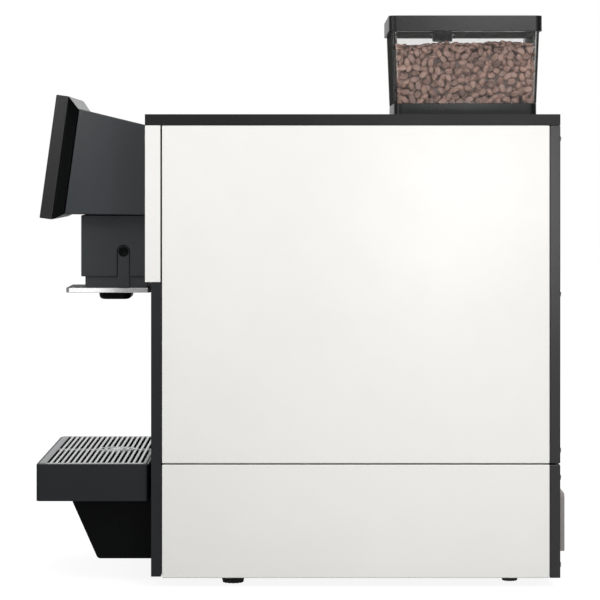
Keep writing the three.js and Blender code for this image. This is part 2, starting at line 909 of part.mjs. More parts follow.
// The display's back closes in from the bezel's outline to the head housing's.
function displayBack() {
  const start = bezelThickness + gap;
  const end = start + backTaperDepth;
  const half = displayWidth / 2;
  const shape = block([-half, half], [start, end], [0, displayHeight]);
  const place = shape.attributes.position;
  for (let i = 0; i < place.count; i++) {
    if (place.getY(i) > start) {
      place.setX(i, place.getX(i) - Math.sign(place.getX(i)) * backSideStep);
      place.setZ(i, place.getZ(i) > 0 ? displayHeight - backTopStep : backBottomStep);
    }
  }
  return named("display_back", shape, paint.blackPlastic);
}

function display() {
  const tilted = assembly(displayBezel(), displayGlass(), displayBack());
  tilted.rotation.x = -THREE.MathUtils.degToRad(displayTilt);
  tilted.position.set(0, -displayReach, displayBottom);
  return tilted;
}

// A point on the display's tilted side view, from its front lower edge, in (y, z) of the machine.
function onDisplay(back, up) {
  const tilt = THREE.MathUtils.degToRad(displayTilt);
  return [
    -displayReach + back * Math.cos(tilt) + up * Math.sin(tilt),
    displayBottom - back * Math.sin(tilt) + up * Math.cos(tilt),
  ];
}

// The head housing is a shell whose open back is closed by the door, with a slot below for the mast.
function headHousing() {
  const start = bezelThickness + 2 * gap + backTaperDepth;
  const side = (inset, back) => [
    onDisplay(start + inset, backBottomStep + inset),
    [back, headDoorBottom + inset],
    [back, headDoorTop - inset],
    onDisplay(start + inset, displayHeight - backTopStep - inset),
  ];
  const half = headWidth / 2;
  const outside = alongX(side(0, headBack), [-half, half]);
  const inside = alongX(side(headWall, headBack + overrun), [-half + headWall, half - headWall]);
  const mastSlot = block(
    about(0, mastWidth + 2 * sliderSlack),
    mastSpan(sliderSlack),
    [headDoorBottom - overrun, headDoorBottom + 3 * headWall],
  );
  return named("head_housing", cut(outside, inside, mastSlot), paint.anthracite);
}

function mastSpan(slack) {
  const back = spoutBack - spoutWall - sliderSlack;
  return [back - mastDepth - slack, back + slack];
}

function spoutHousing() {
  const half = spoutWidth / 2;
  const outside = block([-half, half], [-spoutReach, spoutBack], [spoutBottom, spoutTop]);
  const inside = block(
    [-half + spoutWall, half - spoutWall],
    [-spoutReach + spoutWall, spoutBack - spoutWall],
    [spoutBottom - overrun, spoutTop - spoutWall],
  );
  const mastHole = block(
    about(0, mastWidth + 2 * sliderSlack),
    mastSpan(sliderSlack),
    [spoutTop - 2 * spoutWall, spoutTop + overrun],
  );
  const slotSpan = [-half - overrun, half + overrun];
  const slot = block(slotSpan, about(-slotSetback, slotWidth), [spoutBottom - overrun, guidePinHeight]);
  const slotEnd = rodAlongX(slotWidth / 2, slotSpan, [-slotSetback, guidePinHeight]);
  return named("spout_housing", cut(outside, inside, mastHole, slot, slotEnd), paint.anthracite);
}

// The slider fills the housing from below; its tongue and guide pin show in the housing's side slots.
function spoutSlider() {
  const half = spoutWidth / 2 - spoutWall - sliderSlack;
  const front = -spoutReach + spoutWall + sliderSlack;
  const back = spoutBack - spoutWall - sliderSlack;
  const top = sliderBottom + sliderHeight;
  const body = block([-half, half], [front, back], [sliderBottom, top]);
  const hollow = block(
    [-half + spoutWall, half - spoutWall],
    [front + spoutWall, back - mastDepth],
    [sliderBottom + spoutWall, top + overrun],
  );
  const mast = block(about(0, mastWidth), mastSpan(0), [top - spoutWall, mastTop]);
  const tongueWidth = slotWidth - 2 * sliderSlack;
  const reach = spoutWidth / 2 - sliderSlack;
  const tongue = block([-reach, reach], about(-slotSetback, tongueWidth), [sliderBottom, guidePinHeight]);
  const guidePin = rodAlongX(
    guidePinRadius,
    [-spoutWidth / 2, spoutWidth / 2],
    [-slotSetback, guidePinHeight],
  );
  const slider = join(cut(body, hollow), mast, tongue, guidePin);
  return named("spout_slider", slider, paint.anthracite);
}

function spoutPlate() {
  const outline = roundedRectangle(
    about(0, spoutPlateWidth),
    [-spoutPlateReach, spoutBack - gap],
    spoutPlateCorner,
  );
  return named("spout_plate", alongZ(outline, [plateBottom, spoutPlateTop]), paint.brightPlate);
}

// The nozzle block has a round lower edge and two coffee outlets.
function spoutNozzle() {
  const middle = -(slotSetback + nozzleOffset);
  const bottom = nozzleTop - nozzleHeight;
  const top = nozzleTop + nozzleRound;
  const rounded = roundEnded(
    roundedRectangle(about(0, nozzleWidth), about(middle, nozzleDepth), nozzleCorner),
    [bottom, top],
    nozzleRound,
  );
  const above = alongZ(
    roundedRectangle(about(0, 2 * nozzleWidth), about(middle, 2 * nozzleDepth), nozzleCorner),
    [nozzleTop, top + overrun],
  );
  const boreSpan = [bottom - overrun, nozzleTop - nozzleHeight / 2];
  const bores = [-1, 1].map((side) =>
    rod(nozzleBoreRadius, boreSpan, [(side * nozzleSpacing) / 2, middle], 16),
  );
  return named("spout_nozzle", cut(rounded, above, ...bores), paint.blackPlastic);
}

function door() {
  return [
    doorPanel(),
    doorLiner(),
    ...hingePins(),
    display(),
    headHousing(),
    spoutHousing(),
    spoutSlider(),
    spoutPlate(),
    spoutNozzle(),
  ];
}

// Drip tray

function dripTray() {
  const half = trayWidth / 2;
  const outside = alongZ(
    roundedRectangle([-half, half], [trayFront, trayBack], trayCorner),
    [trayBottom, trayTop],
  );
  const basin = block(
    [-half + trayWall, half - trayWall],
    [trayFront + trayWall, trayBack - trayWall],
    [trayBottom + trayFloor, trayTop + overrun],
  );
  const seat = block(
    [-half + trayRim, half - trayRim],
    [trayFront + trayRim, trayBack - trayRim],
    [grilleBottom - gap, trayTop + overrun],
  );
  return named("drip_tray", cut(outside, basin, seat), paint.darkPlastic);
}

// The grille is one plate with slots from side to side, and a raised disc with rings for the cup.
function dripGrille() {
  const half = trayWidth / 2 - trayRim - gap;
  const [front, back] = [trayFront + trayRim + gap, trayBack - trayRim - gap];
  const plate = block([-half, half], [front, back], [grilleBottom, grilleTop]);
  const slots = [];
  for (let i = 0; i < slotCount; i++) {
    const middle = trayFront + firstSlotSetback + i * slotPitch;
    for (const side of [-1, 1]) {
      const edges = [side * (grilleSlot / 2), side * (half - grilleSideMargin)];
      slots.push(
        block(
          [Math.min(...edges), Math.max(...edges)],
          about(middle, grilleSlot),
          [grilleBottom - overrun, grilleTop + overrun],
        ),
      );
    }
  }
  const markTop = grilleTop + cupMarkHeight;
  const disc = rod(cupMarkRadius, [grilleBottom, markTop], [0, -cupMarkSetback]);
  const rings = cupRingShares.map((shares) => cupRing(shares, markTop));
  return named("drip_grille", cut(join(cut(plate, ...slots), disc), ...rings), paint.steel);
}

// A ring that cuts one groove into the mark.
function cupRing([innerShare, outerShare], markTop) {
  const inner = innerShare * cupMarkRadius;
  const outer = outerShare * cupMarkRadius;
  const profile = [
    [inner, markTop - cupRingDepth],
    [outer, markTop - cupRingDepth],
    [outer, markTop + overrun],
    [inner, markTop + overrun],
    [inner, markTop - cupRingDepth],
  ];
  return turned(profile, [0, -cupMarkSetback]);
}

// The wedge under the tray is a shell that is open towards the splash wall.
function traySupport() {
  const back = splashFront - gap;
  const top = trayBottom - gap;
  const half = supportWidth / 2;
  const side = (inset, rear) => {
    const outline = new THREE.Shape();
    outline.moveTo(rear, top - inset);
    outline.lineTo(-supportTopReach + inset, top - inset);
    outline.lineTo(-supportTopReach + inset, top - supportLip);
    outline.lineTo(-supportToeReach + inset - supportCorner / 2, supportBottom + supportCorner);
    outline.quadraticCurveTo(
      -supportToeReach + inset,
      supportBottom + inset,
      -supportToeReach + inset + supportCorner,
      supportBottom + inset,
    );
    outline.lineTo(rear, supportBottom + inset);
    return outline;
  };
  const outside = alongX(side(0, back), [-half, half]);
  const inside = alongX(side(supportWall, back + overrun), [-half + supportWall, half - supportWall]);
  return named("tray_support", cut(outside, inside), paint.blackPlastic);
}

// The grounds container is a drawer with an open top and a grip in its front.
function groundsContainer() {
  const half = drawerWidth / 2;
  const front = block([-half, half], [splashFront, splashBack], [drawerBottom, drawerTop]);
  const bodyHalf = half - drawerBodyInset;
  const bodyTop = drawerTop - drawerBodyInset;
  const body = block([-bodyHalf, bodyHalf], [splashFront, drawerLength], [drawerBottom, bodyTop]);
  const hollow = block(
    [-bodyHalf + drawerWall, bodyHalf - drawerWall],
    [splashBack, drawerLength - drawerWall],
    [drawerBottom + drawerWall, drawerTop + overrun],
  );
  const gripMiddle = drawerTop - gripHeight;
  const grip = block(
    about(0, gripWidth),
    [splashFront - overrun, splashFront + gripDepth],
    about(gripMiddle, gripHeight),
  );
  return named("grounds_container", cut(join(front, body), hollow, grip), paint.darkPlastic);
}

// Bean hopper

function hopperShare(size) {
  return (size - 2 * hopperBottomInset) / size;
}

function taperedBox(width, length, corner, [z0, z1]) {
  const outline = roundedRectangle(about(0, width), about(hopperSetback, length), corner);
  const solid = alongZ(outline, [z0, z1]);
  const shares = [hopperShare(hopperTopWidth), hopperShare(hopperTopLength)];
  return taperDown(solid, [0, hopperSetback], [hopperBottom, hopperTop], shares);
}

function hopperContainer() {
  const outside = taperedBox(hopperTopWidth, hopperTopLength, hopperCorner, [hopperBottom, hopperTop]);
  const inside = taperedBox(
    hopperTopWidth - 2 * hopperWall,
    hopperTopLength - 2 * hopperWall,
    hopperCorner - hopperWall,
    [hopperBottom - overrun, hopperTop + overrun],
  );
  return named("hopper_container", cut(outside, inside), paint.clearPlastic);
}

// The hopper's base holds the funnel and the slot for the gate, and its spigot enters the grinder.
function hopperBase() {
  const width = hopperTopWidth - 2 * hopperBottomInset;
  const length = hopperTopLength - 2 * hopperBottomInset;
  const plate = alongZ(
    roundedRectangle(about(0, width), about(hopperSetback, length), hopperCorner),
    [hopperBaseBottom, hopperBaseTop],
  );
  const spigot = rod(
    spigotRadius,
    [hopperBaseBottom - spigotDepth, hopperBaseBottom + gap],
    [0, hopperSetback],
  );
  const throat = rod(
    throatRadius,
    [hopperBaseBottom - spigotDepth - overrun, hopperBaseTop + overrun],
    [0, hopperSetback],
  );
  const gateTop = gateBottom() + gateThickness + gateSlack;
  const funnel = turned(
    [
      [0, gateTop + plasticWall],
      [throatRadius, gateTop + plasticWall],
      [hopperFunnelRadius, hopperBaseTop],
      [hopperFunnelRadius, hopperBaseTop + overrun],
      [0, hopperBaseTop + overrun],
    ],
    [0, hopperSetback],
  );
  const gateSlot = block(
    about(0, gateWidth + 2 * gateSlack),
    [hopperSetback - length, gateEnd() + gateSlack],
    [gateBottom() - gateSlack, gateTop],
  );
  return named("hopper_base", cut(join(plate, spigot), throat, funnel, gateSlot), paint.lid);
}

function gateBottom() {
  return hopperBaseBottom + panelWall;
}

function gateEnd() {
  return hopperSetback + gateHoleRadius + gateTail;
}

function hopperGate() {
  const front = hopperSetback - hopperTopLength / 2 + hopperBottomInset;
  const span = [gateBottom(), gateBottom() + gateThickness];
  const plate = block(about(0, gateWidth), [front, gateEnd()], span);
  const hole = rod(gateHoleRadius, [span[0] - overrun, span[1] + overrun], [0, hopperSetback]);
  return named("hopper_gate", cut(plate, hole), paint.steel);
}

// The bean charge fills the container up to a slightly raised top.
function coffeeBeans() {
  const inset = 2 * (hopperWall + beanSideGap);
  const bottom = hopperBottom + gap;
  const top = bottom + beanDepth;
  const width = hopperTopWidth - inset;
  const length = hopperTopLength - inset;
  const corner = hopperCorner - hopperWall;
  const charge = taperedBox(width, length, corner, [bottom, top]);
  const crown = taperedBox(
    width * beanCrownShare,
    length * beanCrownShare,
    corner,
    [bottom, top + beanCrown],
  );
  return named("coffee_beans", join(charge, crown), paint.beans);
}

function hopperLid() {
  const top = lidBottom + lidHeight;
  const outside = alongZ(
    roundedRectangle(about(0, lidWidth), about(hopperSetback, lidLength), lidCorner),
    [lidBottom, top],
  );
  const inside = block(
    about(0, lidWidth - 2 * lidWall),
    about(hopperSetback, lidLength - 2 * lidWall),
    [lidBottom - overrun, top - lidTop],
  );
  const boss = rod(lockRadius + lockBoss, [lidBottom, top - lidTop / 2], [0, lockSetback]);
  const lockHole = rod(lockRadius + gap, [lidBottom - overrun, top + overrun], [0, lockSetback]);
  return named("hopper_lid", cut(join(cut(outside, inside), boss), lockHole), paint.lid);
}

function lidLock() {
  const top = lidBottom + lidHeight;
  const barrel = rod(lockRadius, [lidBottom - lockDrop, top], [0, lockSetback]);
  const keySlot = block(
    about(0, lockRadius),
    about(lockSetback, plasticWall),
    [top - lockBoss, top + overrun],
  );
  return named("lid_lock", cut(barrel, keySlot), paint.blackPlastic);
}

function hopper() {
  return [hopperContainer(), hopperBase(), hopperGate(), coffeeBeans(), hopperLid(), lidLock()];
}

// Grinder

function grinderHousing() {
  const neckRadius = spigotRadius + gap + throatWall;
  const neckTop = topFrameTop;
  const neckBottom = grinderShoulder + (grinderRadius - neckRadius);
  const chamber = burrOuterRadius + gap;
  const bottomHole = grinderShaftRadius + gap;
  const place = [0, hopperSetback];
  const body = turned(
    [
      [bottomHole, grinderBottom],
      [grinderRadius, grinderBottom],
      [grinderRadius, grinderShoulder],
      [neckRadius, neckBottom],
      [neckRadius, neckTop],
      [spigotRadius + gap, neckTop],
      [spigotRadius + gap, neckBottom],
      [burrInnerRadius, burrChamberTop + grinderWall],
      [burrInnerRadius, burrChamberTop],
      [chamber, burrChamberTop],
      [chamber, burrChamberBottom],
      [bottomHole, burrChamberBottom],
      [bottomHole, grinderBottom],
    ],
    place,
  );
  const outlet = block(
    about(0, chuteWidth - 2 * chuteWall),
    [hopperSetback - grinderRadius - overrun, hopperSetback - burrOuterRadius / 2],
    about(chuteHighEnd, chuteHeight - 2 * chuteWall),
  );
  return named("grinder_housing", cut(body, outlet), paint.darkSteel);
}

function burrRing(z0, z1) {
  return [
    [burrInnerRadius, z0],
    [burrOuterRadius, z0],
    [burrOuterRadius, z1],
    [burrInnerRadius, z1],
    [burrInnerRadius, z0],
  ];
}

function burrCuts(face) {
  const cuts = [];
  for (let i = 0; i < burrTeeth; i++) {
    const groove = block([burrInnerRadius - overrun, burrOuterRadius + overrun], about(0, toothWidth), face);
    groove.rotateZ((i / burrTeeth) * 2 * Math.PI).translate(0, hopperSetback, 0);
    cuts.push(groove);
  }
  return cuts;
}

function upperBurr() {
  const top = burrChamberTop - gap;
  const bottom = top - upperBurrHeight;
  const ring = turned(burrRing(bottom, top), [0, hopperSetback]);
  return named("upper_burr", cut(ring, ...burrCuts([bottom - overrun, bottom + toothDepth])), paint.steel);
}

function lowerBurr() {
  const top = burrChamberTop - gap - upperBurrHeight - burrGap;
  const bottom = top - lowerBurrHeight;
  const place = [0, hopperSetback];
  const disc = rod(burrOuterRadius - gap, [bottom, top], place);
  const shaft = rod(grinderShaftRadius, [motorTop - shaftSeat + gap, bottom + gap], place);
  const cone = turned(
    [
      [0, top - gap],
      [burrInnerRadius * feedConeRadiusShare, top - gap],
      [0, top + burrInnerRadius * feedConeHeightShare],
    ],
    place,
  );
  const burr = join(disc, shaft, cone);
  return named("lower_burr", cut(burr, ...burrCuts([top - toothDepth, top + overrun])), paint.steel);
}

// The motor stands on the deck with a round flange.
function grinderMotor() {
  const base = deckHeight + gap;
  const neck = grinderMotorRadius * motorNeckShare;
  const hole = grinderShaftRadius + gap;
  const bodyBottom = base + (motorTop - base) / 3;
  const motor = turned(
    [
      [0, base],
      [grinderMotorFoot, base],
      [grinderMotorFoot, base + flangeThickness],
      [neck, base + flangeThickness],
      [neck, bodyBottom],
      [grinderMotorRadius, bodyBottom],
      [grinderMotorRadius, motorTop],
      [hole, motorTop],
      [hole, motorTop - shaftSeat],
      [0, motorTop - shaftSeat],
    ],
    [0, hopperSetback],
  );
  return named("grinder_motor", motor, paint.darkSteel);
}

// The chute is a square tube that slopes from the grinder's outlet to the brew cylinder.
function groundsChute() {
  const high = hopperSetback - grinderRadius - gap;
  const low = brewSetback + cylinderBore + panelWall;
  const side = (inset, extra) => {
    const slope = (chuteHighEnd - chuteLowEnd) / (high - low);
    const y0 = low - extra;
    const y1 = high + extra;
    const z0 = chuteLowEnd - extra * slope;
    const z1 = chuteHighEnd + extra * slope;
    const half = chuteHeight / 2 - inset;
    return [[y0, z0 - half], [y1, z1 - half], [y1, z1 + half], [y0, z0 + half]];
  };
  const outside = alongX(side(0, 0), about(0, chuteWidth));
  const inside = alongX(side(chuteWall, overrun), about(0, chuteWidth - 2 * chuteWall));
  return named("grounds_chute", cut(outside, inside), paint.darkPlastic);
}

function grinder() {
  return [grinderHousing(), upperBurr(), lowerBurr(), grinderMotor(), groundsChute()];
}

// Brewer

// The brew frame straddles the grounds drawer: two cheeks, a shelf for the cylinder and a top plate.
function brewFrame() {
  const half = brewSpan / 2;
  const bottom = deckHeight + gap;
  const top = brewTopHeight + brewPlate;
  const cheek = (side) =>
    block(
      [Math.min(side * half, side * (half - brewPlate)), Math.max(side * half, side * (half - brewPlate))],
      about(brewSetback, cheekDepth),
      [bottom, top],
    );
  const shelf = block(
    [-half, half],
    about(brewSetback, shelfDepth),
    [brewShelfHeight, brewShelfHeight + brewPlate],
  );
  const topPlate = block([-half, half], about(brewSetback, brewTopDepth), [brewTopHeight, top]);
  const spindleHole = rod(
    spindleRadius + 2 * gap,
    [brewTopHeight - overrun, top + overrun],
    [spindleOffset, brewSetback],
    16,
  );
  return named("brew_frame", cut(join(cheek(-1), cheek(1), shelf, topPlate), spindleHole), paint.steel);
}

function brewCylinder() {
  const top = cylinderTop;
  const cup = turned(
    [
      [0, chamberBase],
      [cylinderRadius, chamberBase],
      [cylinderRadius, top],
      [cylinderBore, top],
      [cylinderBore, chamberBase + cylinderFloor],
      [0, chamberBase + cylinderFloor],
    ],
    [0, brewSetback],
  );
  return named("brew_cylinder", cup, paint.darkPlastic);
}

function brewPiston() {
  const armEnd = spindleOffset + 2 * spindleRadius + crossarmHeight / 3;
  const head = rod(cylinderBore - 2 * gap, [pistonRest, pistonRest + pistonHeight], [0, brewSetback]);
  const stem = rod(pistonRodRadius, [pistonRest + pistonHeight - gap, pistonRodTop + gap], [0, brewSetback]);
  const arm = block(
    [-pistonRodRadius, armEnd],
    about(brewSetback, crossarmDepth),
    [pistonRodTop, pistonRodTop + crossarmHeight],
  );
  const nutHole = rod(
    spindleRadius + gap,
    [pistonRodTop - overrun, pistonRodTop + crossarmHeight + overrun],
    [spindleOffset, brewSetback],
    16,
  );
  return named("brew_piston", cut(join(head, stem, arm), nutHole), paint.darkPlastic);
}

function brewSpindle() {
  const span = [chamberBase, brewTopHeight + brewPlate];
  const spindle = rod(spindleRadius, span, [spindleOffset, brewSetback], 16);
  return named("brew_spindle", spindle, paint.steel);
}

function brewMotor() {
  const bottom = brewTopHeight + brewPlate + gap;
  const place = [spindleOffset, brewSetback];
  const motor = rod(brewMotorRadius, [bottom, bottom + brewMotorHeight], place);
  return named("brew_motor", motor, paint.darkSteel);
}

function brewer() {
  return [brewFrame(), brewCylinder(), brewPiston(), brewSpindle(), brewMotor()];
}

// Water and power

function boiler() {
  const base = deckHeight + gap;
  const top = base + boilerHeight;
  const foot = boilerRadius * boilerFootShare;
  const tank = turned(
    [
      [0, base],
      [foot, base],
      [foot, base + boilerDome],
      [boilerRadius, base + 2 * boilerDome],
      [boilerRadius, top - boilerDome],
      [boilerRadius * boilerShoulderShare, top - boilerDome / 3],
      [boilerRadius * boilerCrownShare, top],
      [0, top],
    ],
    [boilerX, boilerSetback],
  );
  return named("boiler", tank, paint.steel);
}

function pumpAxisHeight() {
  return panFloor + gap + coilHeight / 2;
}

function pump() {
  const axis = [pumpX, pumpAxisHeight()];
  const body = rodAlongY(pumpRadius, [pumpSetback, pumpSetback + pumpLength], axis);
  const coil = block(
    about(pumpX, coilWidth),
    about(pumpSetback + pumpLength / 2, coilLength),
    [panFloor + gap, panFloor + gap + coilHeight],
  );
  return named("pump", join(body, coil), paint.darkSteel);
}

function waterInlet() {
  const wallInside = rearCoverBack - plasticWall;
  const stub = rodAlongY(
    inletRadius,
    [wallInside - inletInside, rearCoverBack + inletOutside],
    [0, inletHeight],
  );
  const collar = rodAlongY(
    inletCollarRadius,
    [wallInside - gap - flangeThickness, wallInside - gap],
    [0, inletHeight],
    6,
  );
  const bore = rodAlongY(
    inletBore,
    [wallInside, rearCoverBack + inletOutside + overrun],
    [0, inletHeight],
    16,
  );
  return named("water_inlet", cut(join(stub, collar), bore), paint.brass);
}

// The mains inlet has a flange outside the rear cover and three blades in its recess.
function mainsInlet() {
  const flangeFront = rearCoverBack + gap;
  const flangeBack = flangeFront + panelWall;
  const flange = block(
    about(socketX, socketFlangeWidth),
    [flangeFront, flangeBack],
    about(socketHeight, socketFlangeHeight),
  );
  const body = block(
    about(socketX, socketBodyWidth),
    [flangeBack - socketBodyDepth, flangeFront + gap],
    about(socketHeight, socketBodyHeight),
  );
  const floor = flangeBack - socketRecessDepth;
  const recess = block(
    about(socketX, socketRecessWidth),
    [floor, flangeBack + overrun],
    about(socketHeight, socketRecessHeight),
  );
  const blades = [-1, 0, 1].map((side) =>
    block(
      about(socketX + side * socketBladeSpacing, socketBladeWidth),
      [floor - gap, floor + socketBladeLength],
      about(socketHeight + (side ? -1 : 1) * socketBladeWidth, 2 * socketBladeWidth),
    ),
  );
  return named("mains_inlet", join(cut(join(flange, body), recess), ...blades), paint.blackPlastic);
}

// The rocker's back is round about its tilting axis, so that it turns inside the rear cover's hole.
function mainsSwitch() {
  const face = (rockerHeight * rockerFaceShare) / 2;
  const back = (rockerHeight * rockerBackShare) / 2;
  const axis = rockerAxis();
  const outline = new THREE.Shape();
  outline.moveTo(axis - rockerDepth / 2, switchHeight - back);
  outline.lineTo(axis + rockerDepth / 2, switchHeight - face);
  outline.lineTo(axis + rockerDepth / 2 - panelWall / 2, switchHeight);
  outline.lineTo(axis + rockerDepth / 2, switchHeight + face);
  outline.lineTo(axis - rockerDepth / 2, switchHeight + back);
  return named("mains_switch", alongX(outline, about(socketX, rockerWidth)), paint.blackPlastic);
}

function rockerAxis() {
  return rearCoverBack - plasticWall / 2;
}

// The control board stands upright on the deck; the relays and chips are raised blocks on it.
function controlBoard() {
  const bottom = deckHeight + gap;
  const board = block(
    [boardX, boardX + boardThickness],
    [boardSetback, boardSetback + boardLength],
    [bottom, bottom + boardHeight],
  );
  const chips = chipShares.map(([along, up, size]) =>
    block(
      [boardX - chipHeight, boardX + boardThickness / 2],
      about(boardSetback + along * boardLength, size * boardLength),
      about(bottom + up * boardHeight, size * boardLength),
    ),
  );
  return named("control_board", join(board, ...chips), paint.board);
}

function fanFrame() {
  const half = fanSize / 2;
  const outside = block(
    [fanX - half, fanX + half],
    [fanFront, fanBack],
    [fanHeight - half, fanHeight + half],
  );
  const bore = rodAlongY(fanBore, [fanFront - overrun, fanBack + overrun], [fanX, fanHeight], 32);
  const armSpan = [fanBack - fanArmDepth, fanBack];
  const arms = [
    block(about(fanX, 2 * fanBore + gap), armSpan, about(fanHeight, fanArmWidth)),
    block(about(fanX, fanArmWidth), armSpan, about(fanHeight, 2 * fanBore + gap)),
    rodAlongY(fanHubRadius, armSpan, [fanX, fanHeight]),
  ];
  const shaftHole = rodAlongY(
    fanShaftRadius + gap,
    [fanBack - fanArmDepth - overrun, fanBack + overrun],
    [fanX, fanHeight],
    12,
  );
  return named("fan_frame", cut(join(cut(outside, bore), ...arms), shaftHole), paint.blackPlastic);
}

function fanRotor() {
  const back = fanBack - fanArmDepth - gap;
  const front = fanFront + panelWall;
  const hub = rodAlongY(fanHubRadius, [front, back], [fanX, fanHeight]);
  const shaft = rodAlongY(fanShaftRadius, [back - gap, fanBack], [fanX, fanHeight], 12);
  const blades = [];
  for (let i = 0; i < fanBlades; i++) {
    const blade = block(
      about(0, fanBladeThickness),
      about(0, fanBladeChord),
      [fanHubRadius - fanBladeThickness, fanBladeReach],
    );
    blade.rotateZ(THREE.MathUtils.degToRad(fanBladeTwist));
    blade.rotateY((i / fanBlades) * 2 * Math.PI);
    blades.push(blade.translate(fanX, (front + back) / 2, fanHeight));
  }
  return named("fan_rotor", join(hub, shaft, ...blades), paint.blackPlastic);
}

// A hose is a round section drawn along a smooth curve through its points.
function hose(name, points) {
  const path = new THREE.CatmullRomCurve3(points.map((p) => new THREE.Vector3(...p)));
  const section = new THREE.Shape();
  for (let i = 0; i < hoseSides; i++) {
    const angle = (i / hoseSides) * 2 * Math.PI;
    const at = [hoseRadius * Math.cos(angle), hoseRadius * Math.sin(angle)];
    i ? section.lineTo(...at) : section.moveTo(...at);
  }
  const tube = new THREE.ExtrudeGeometry(section, { steps: 4 * points.length, extrudePath: path });
  return named(name, tube, paint.hose);
}

// From the pump's front end up through the deck to the boiler's side.
function feedHose() {
  const z = pumpAxisHeight();
  const boilerSide = boilerX + boilerRadius + 2 * gap;
  const bend = 5 * hoseRadius;
  const turnIn = hoseHoleSetback + bend;
  return hose("feed_hose", [
    [pumpX, pumpSetback - gap, z],
    [pumpX, turnIn, z],
    [pumpX - bend, hoseHoleSetback, z + bend],
    [hoseHoleX + bend, hoseHoleSetback, deckHeight - 3 * bend],
    [hoseHoleX, hoseHoleSetback, deckHeight - bend],
    [hoseHoleX, hoseHoleSetback, deckHeight],
    [hoseHoleX, hoseHoleSetback, deckHeight + bend],
    [hoseHoleX, turnIn, deckHeight + 3 * bend],
    [boilerSide + bend / 2, boilerSetback, deckHeight + 4 * bend],
    [boilerSide, boilerSetback, deckHeight + 4 * bend],
  ]);
}

// From the boiler's top to the side of the brew cylinder.
function brewHose() {
  const start = deckHeight + 2 * gap + boilerHeight;
  const bend = 4 * hoseRadius;
  const reach = (cylinderRadius + 2 * gap) * Math.SQRT1_2;
  const out = reach + bend;
  const end = chamberBase + cylinderHeight / 2;
  return hose("brew_hose", [
    [boilerX, boilerSetback, start],
    [boilerX, boilerSetback, start + bend],
    [boilerX + bend / 2, boilerSetback - bend, start + 1.5 * bend],
    [-out - 2 * bend, brewSetback + out + 3 * bend, start],
    [-out - bend, brewSetback + out + bend, end + 2 * bend],
    [-out, brewSetback + out, end],
    [-reach, brewSetback + reach, end],
  ]);
}

function waterAndPower() {
  return [
    boiler(),
    pump(),
    waterInlet(),
    mainsInlet(),
    mainsSwitch(),
    controlBoard(),
    fanFrame(),
    fanRotor(),
    feedHose(),
    brewHose(),
  ];
}

// The whole machine, with its origin under the middle of its outline
const machine = assembly(
  ...frame(),
  ...sidePanels(),
  topCover(),
  ...rearCovers(),
  connectionCover(),
  splashWall(),
  traySupport(),
  dripTray(),
  dripGrille(),
  groundsContainer(),
  ...door(),
  ...hopper(),
  ...grinder(),
  ...brewer(),
  ...waterAndPower(),
);
const rearmost = rearCoverBack + gap + connectionDepth;
machine.position.y = -(rearmost - displayReach) / 2;

export default machine;
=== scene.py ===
import math
import random

import bmesh
import bpy
from mathutils import Matrix, Vector


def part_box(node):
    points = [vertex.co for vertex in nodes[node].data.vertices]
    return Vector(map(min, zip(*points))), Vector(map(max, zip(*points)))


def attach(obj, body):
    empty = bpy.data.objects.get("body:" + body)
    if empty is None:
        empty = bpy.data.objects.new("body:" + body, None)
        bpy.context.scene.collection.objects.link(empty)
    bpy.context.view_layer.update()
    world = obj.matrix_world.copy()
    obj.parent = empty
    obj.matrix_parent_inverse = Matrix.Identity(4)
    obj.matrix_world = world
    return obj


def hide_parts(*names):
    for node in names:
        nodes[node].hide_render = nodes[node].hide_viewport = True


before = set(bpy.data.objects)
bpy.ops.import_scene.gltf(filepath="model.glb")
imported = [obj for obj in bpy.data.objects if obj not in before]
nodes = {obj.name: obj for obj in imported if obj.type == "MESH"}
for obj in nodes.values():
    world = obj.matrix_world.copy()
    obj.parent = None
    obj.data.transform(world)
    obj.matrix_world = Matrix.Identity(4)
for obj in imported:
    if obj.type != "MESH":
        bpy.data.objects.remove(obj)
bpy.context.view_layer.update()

# The bean to cup coffee machine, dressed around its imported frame. Lengths are in metres, apart
# from those that are said to be in mm. +Z is up, the front faces -Y, and the machine's right
# side, which the camera sees, is +X.

MM = 0.001
scene = bpy.context.scene


# Camera


def make_camera():
    """A level camera, square to the machine's right side. The shift lowers what it frames."""
    lens = bpy.data.cameras.new("camera")
    lens.sensor_width = 36
    lens.lens = 155.83
    lens.shift_y = -0.21367
    lens.clip_end = 60
    camera = bpy.data.objects.new("camera", lens)
    camera.location = (3.0425, -0.0051, 0.4615)
    camera.rotation_euler = (math.radians(90), 0, math.radians(90))
    scene.collection.objects.link(camera)
    scene.camera = camera


make_camera()


# Shader kit


class Wire:
    """One output of a node. Sums of wires and numbers add Math nodes."""

    def __init__(self, finish, socket):
        self.finish = finish
        self.socket = socket

    def math(self, operation, first, second=0):
        return self.finish.add("Math", {"operation": operation}, {0: first, 1: second})

    def __add__(self, other):
        return self.math("ADD", self, other)

    __radd__ = __add__

    def __sub__(self, other):
        return self.math("SUBTRACT", self, other)

    def __rsub__(self, other):
        return self.math("SUBTRACT", other, self)

    def __mul__(self, other):
        return self.math("MULTIPLY", self, other)

    __rmul__ = __mul__

    def above(self, limit):
        """1 where the value is above the limit, and 0 elsewhere."""
        return self.math("GREATER_THAN", self, limit)

    def unsigned(self):
        return self.math("ABSOLUTE", self)

    def larger(self, other):
        return self.math("MAXIMUM", self, other)

    def smaller(self, other):
        return self.math("MINIMUM", self, other)


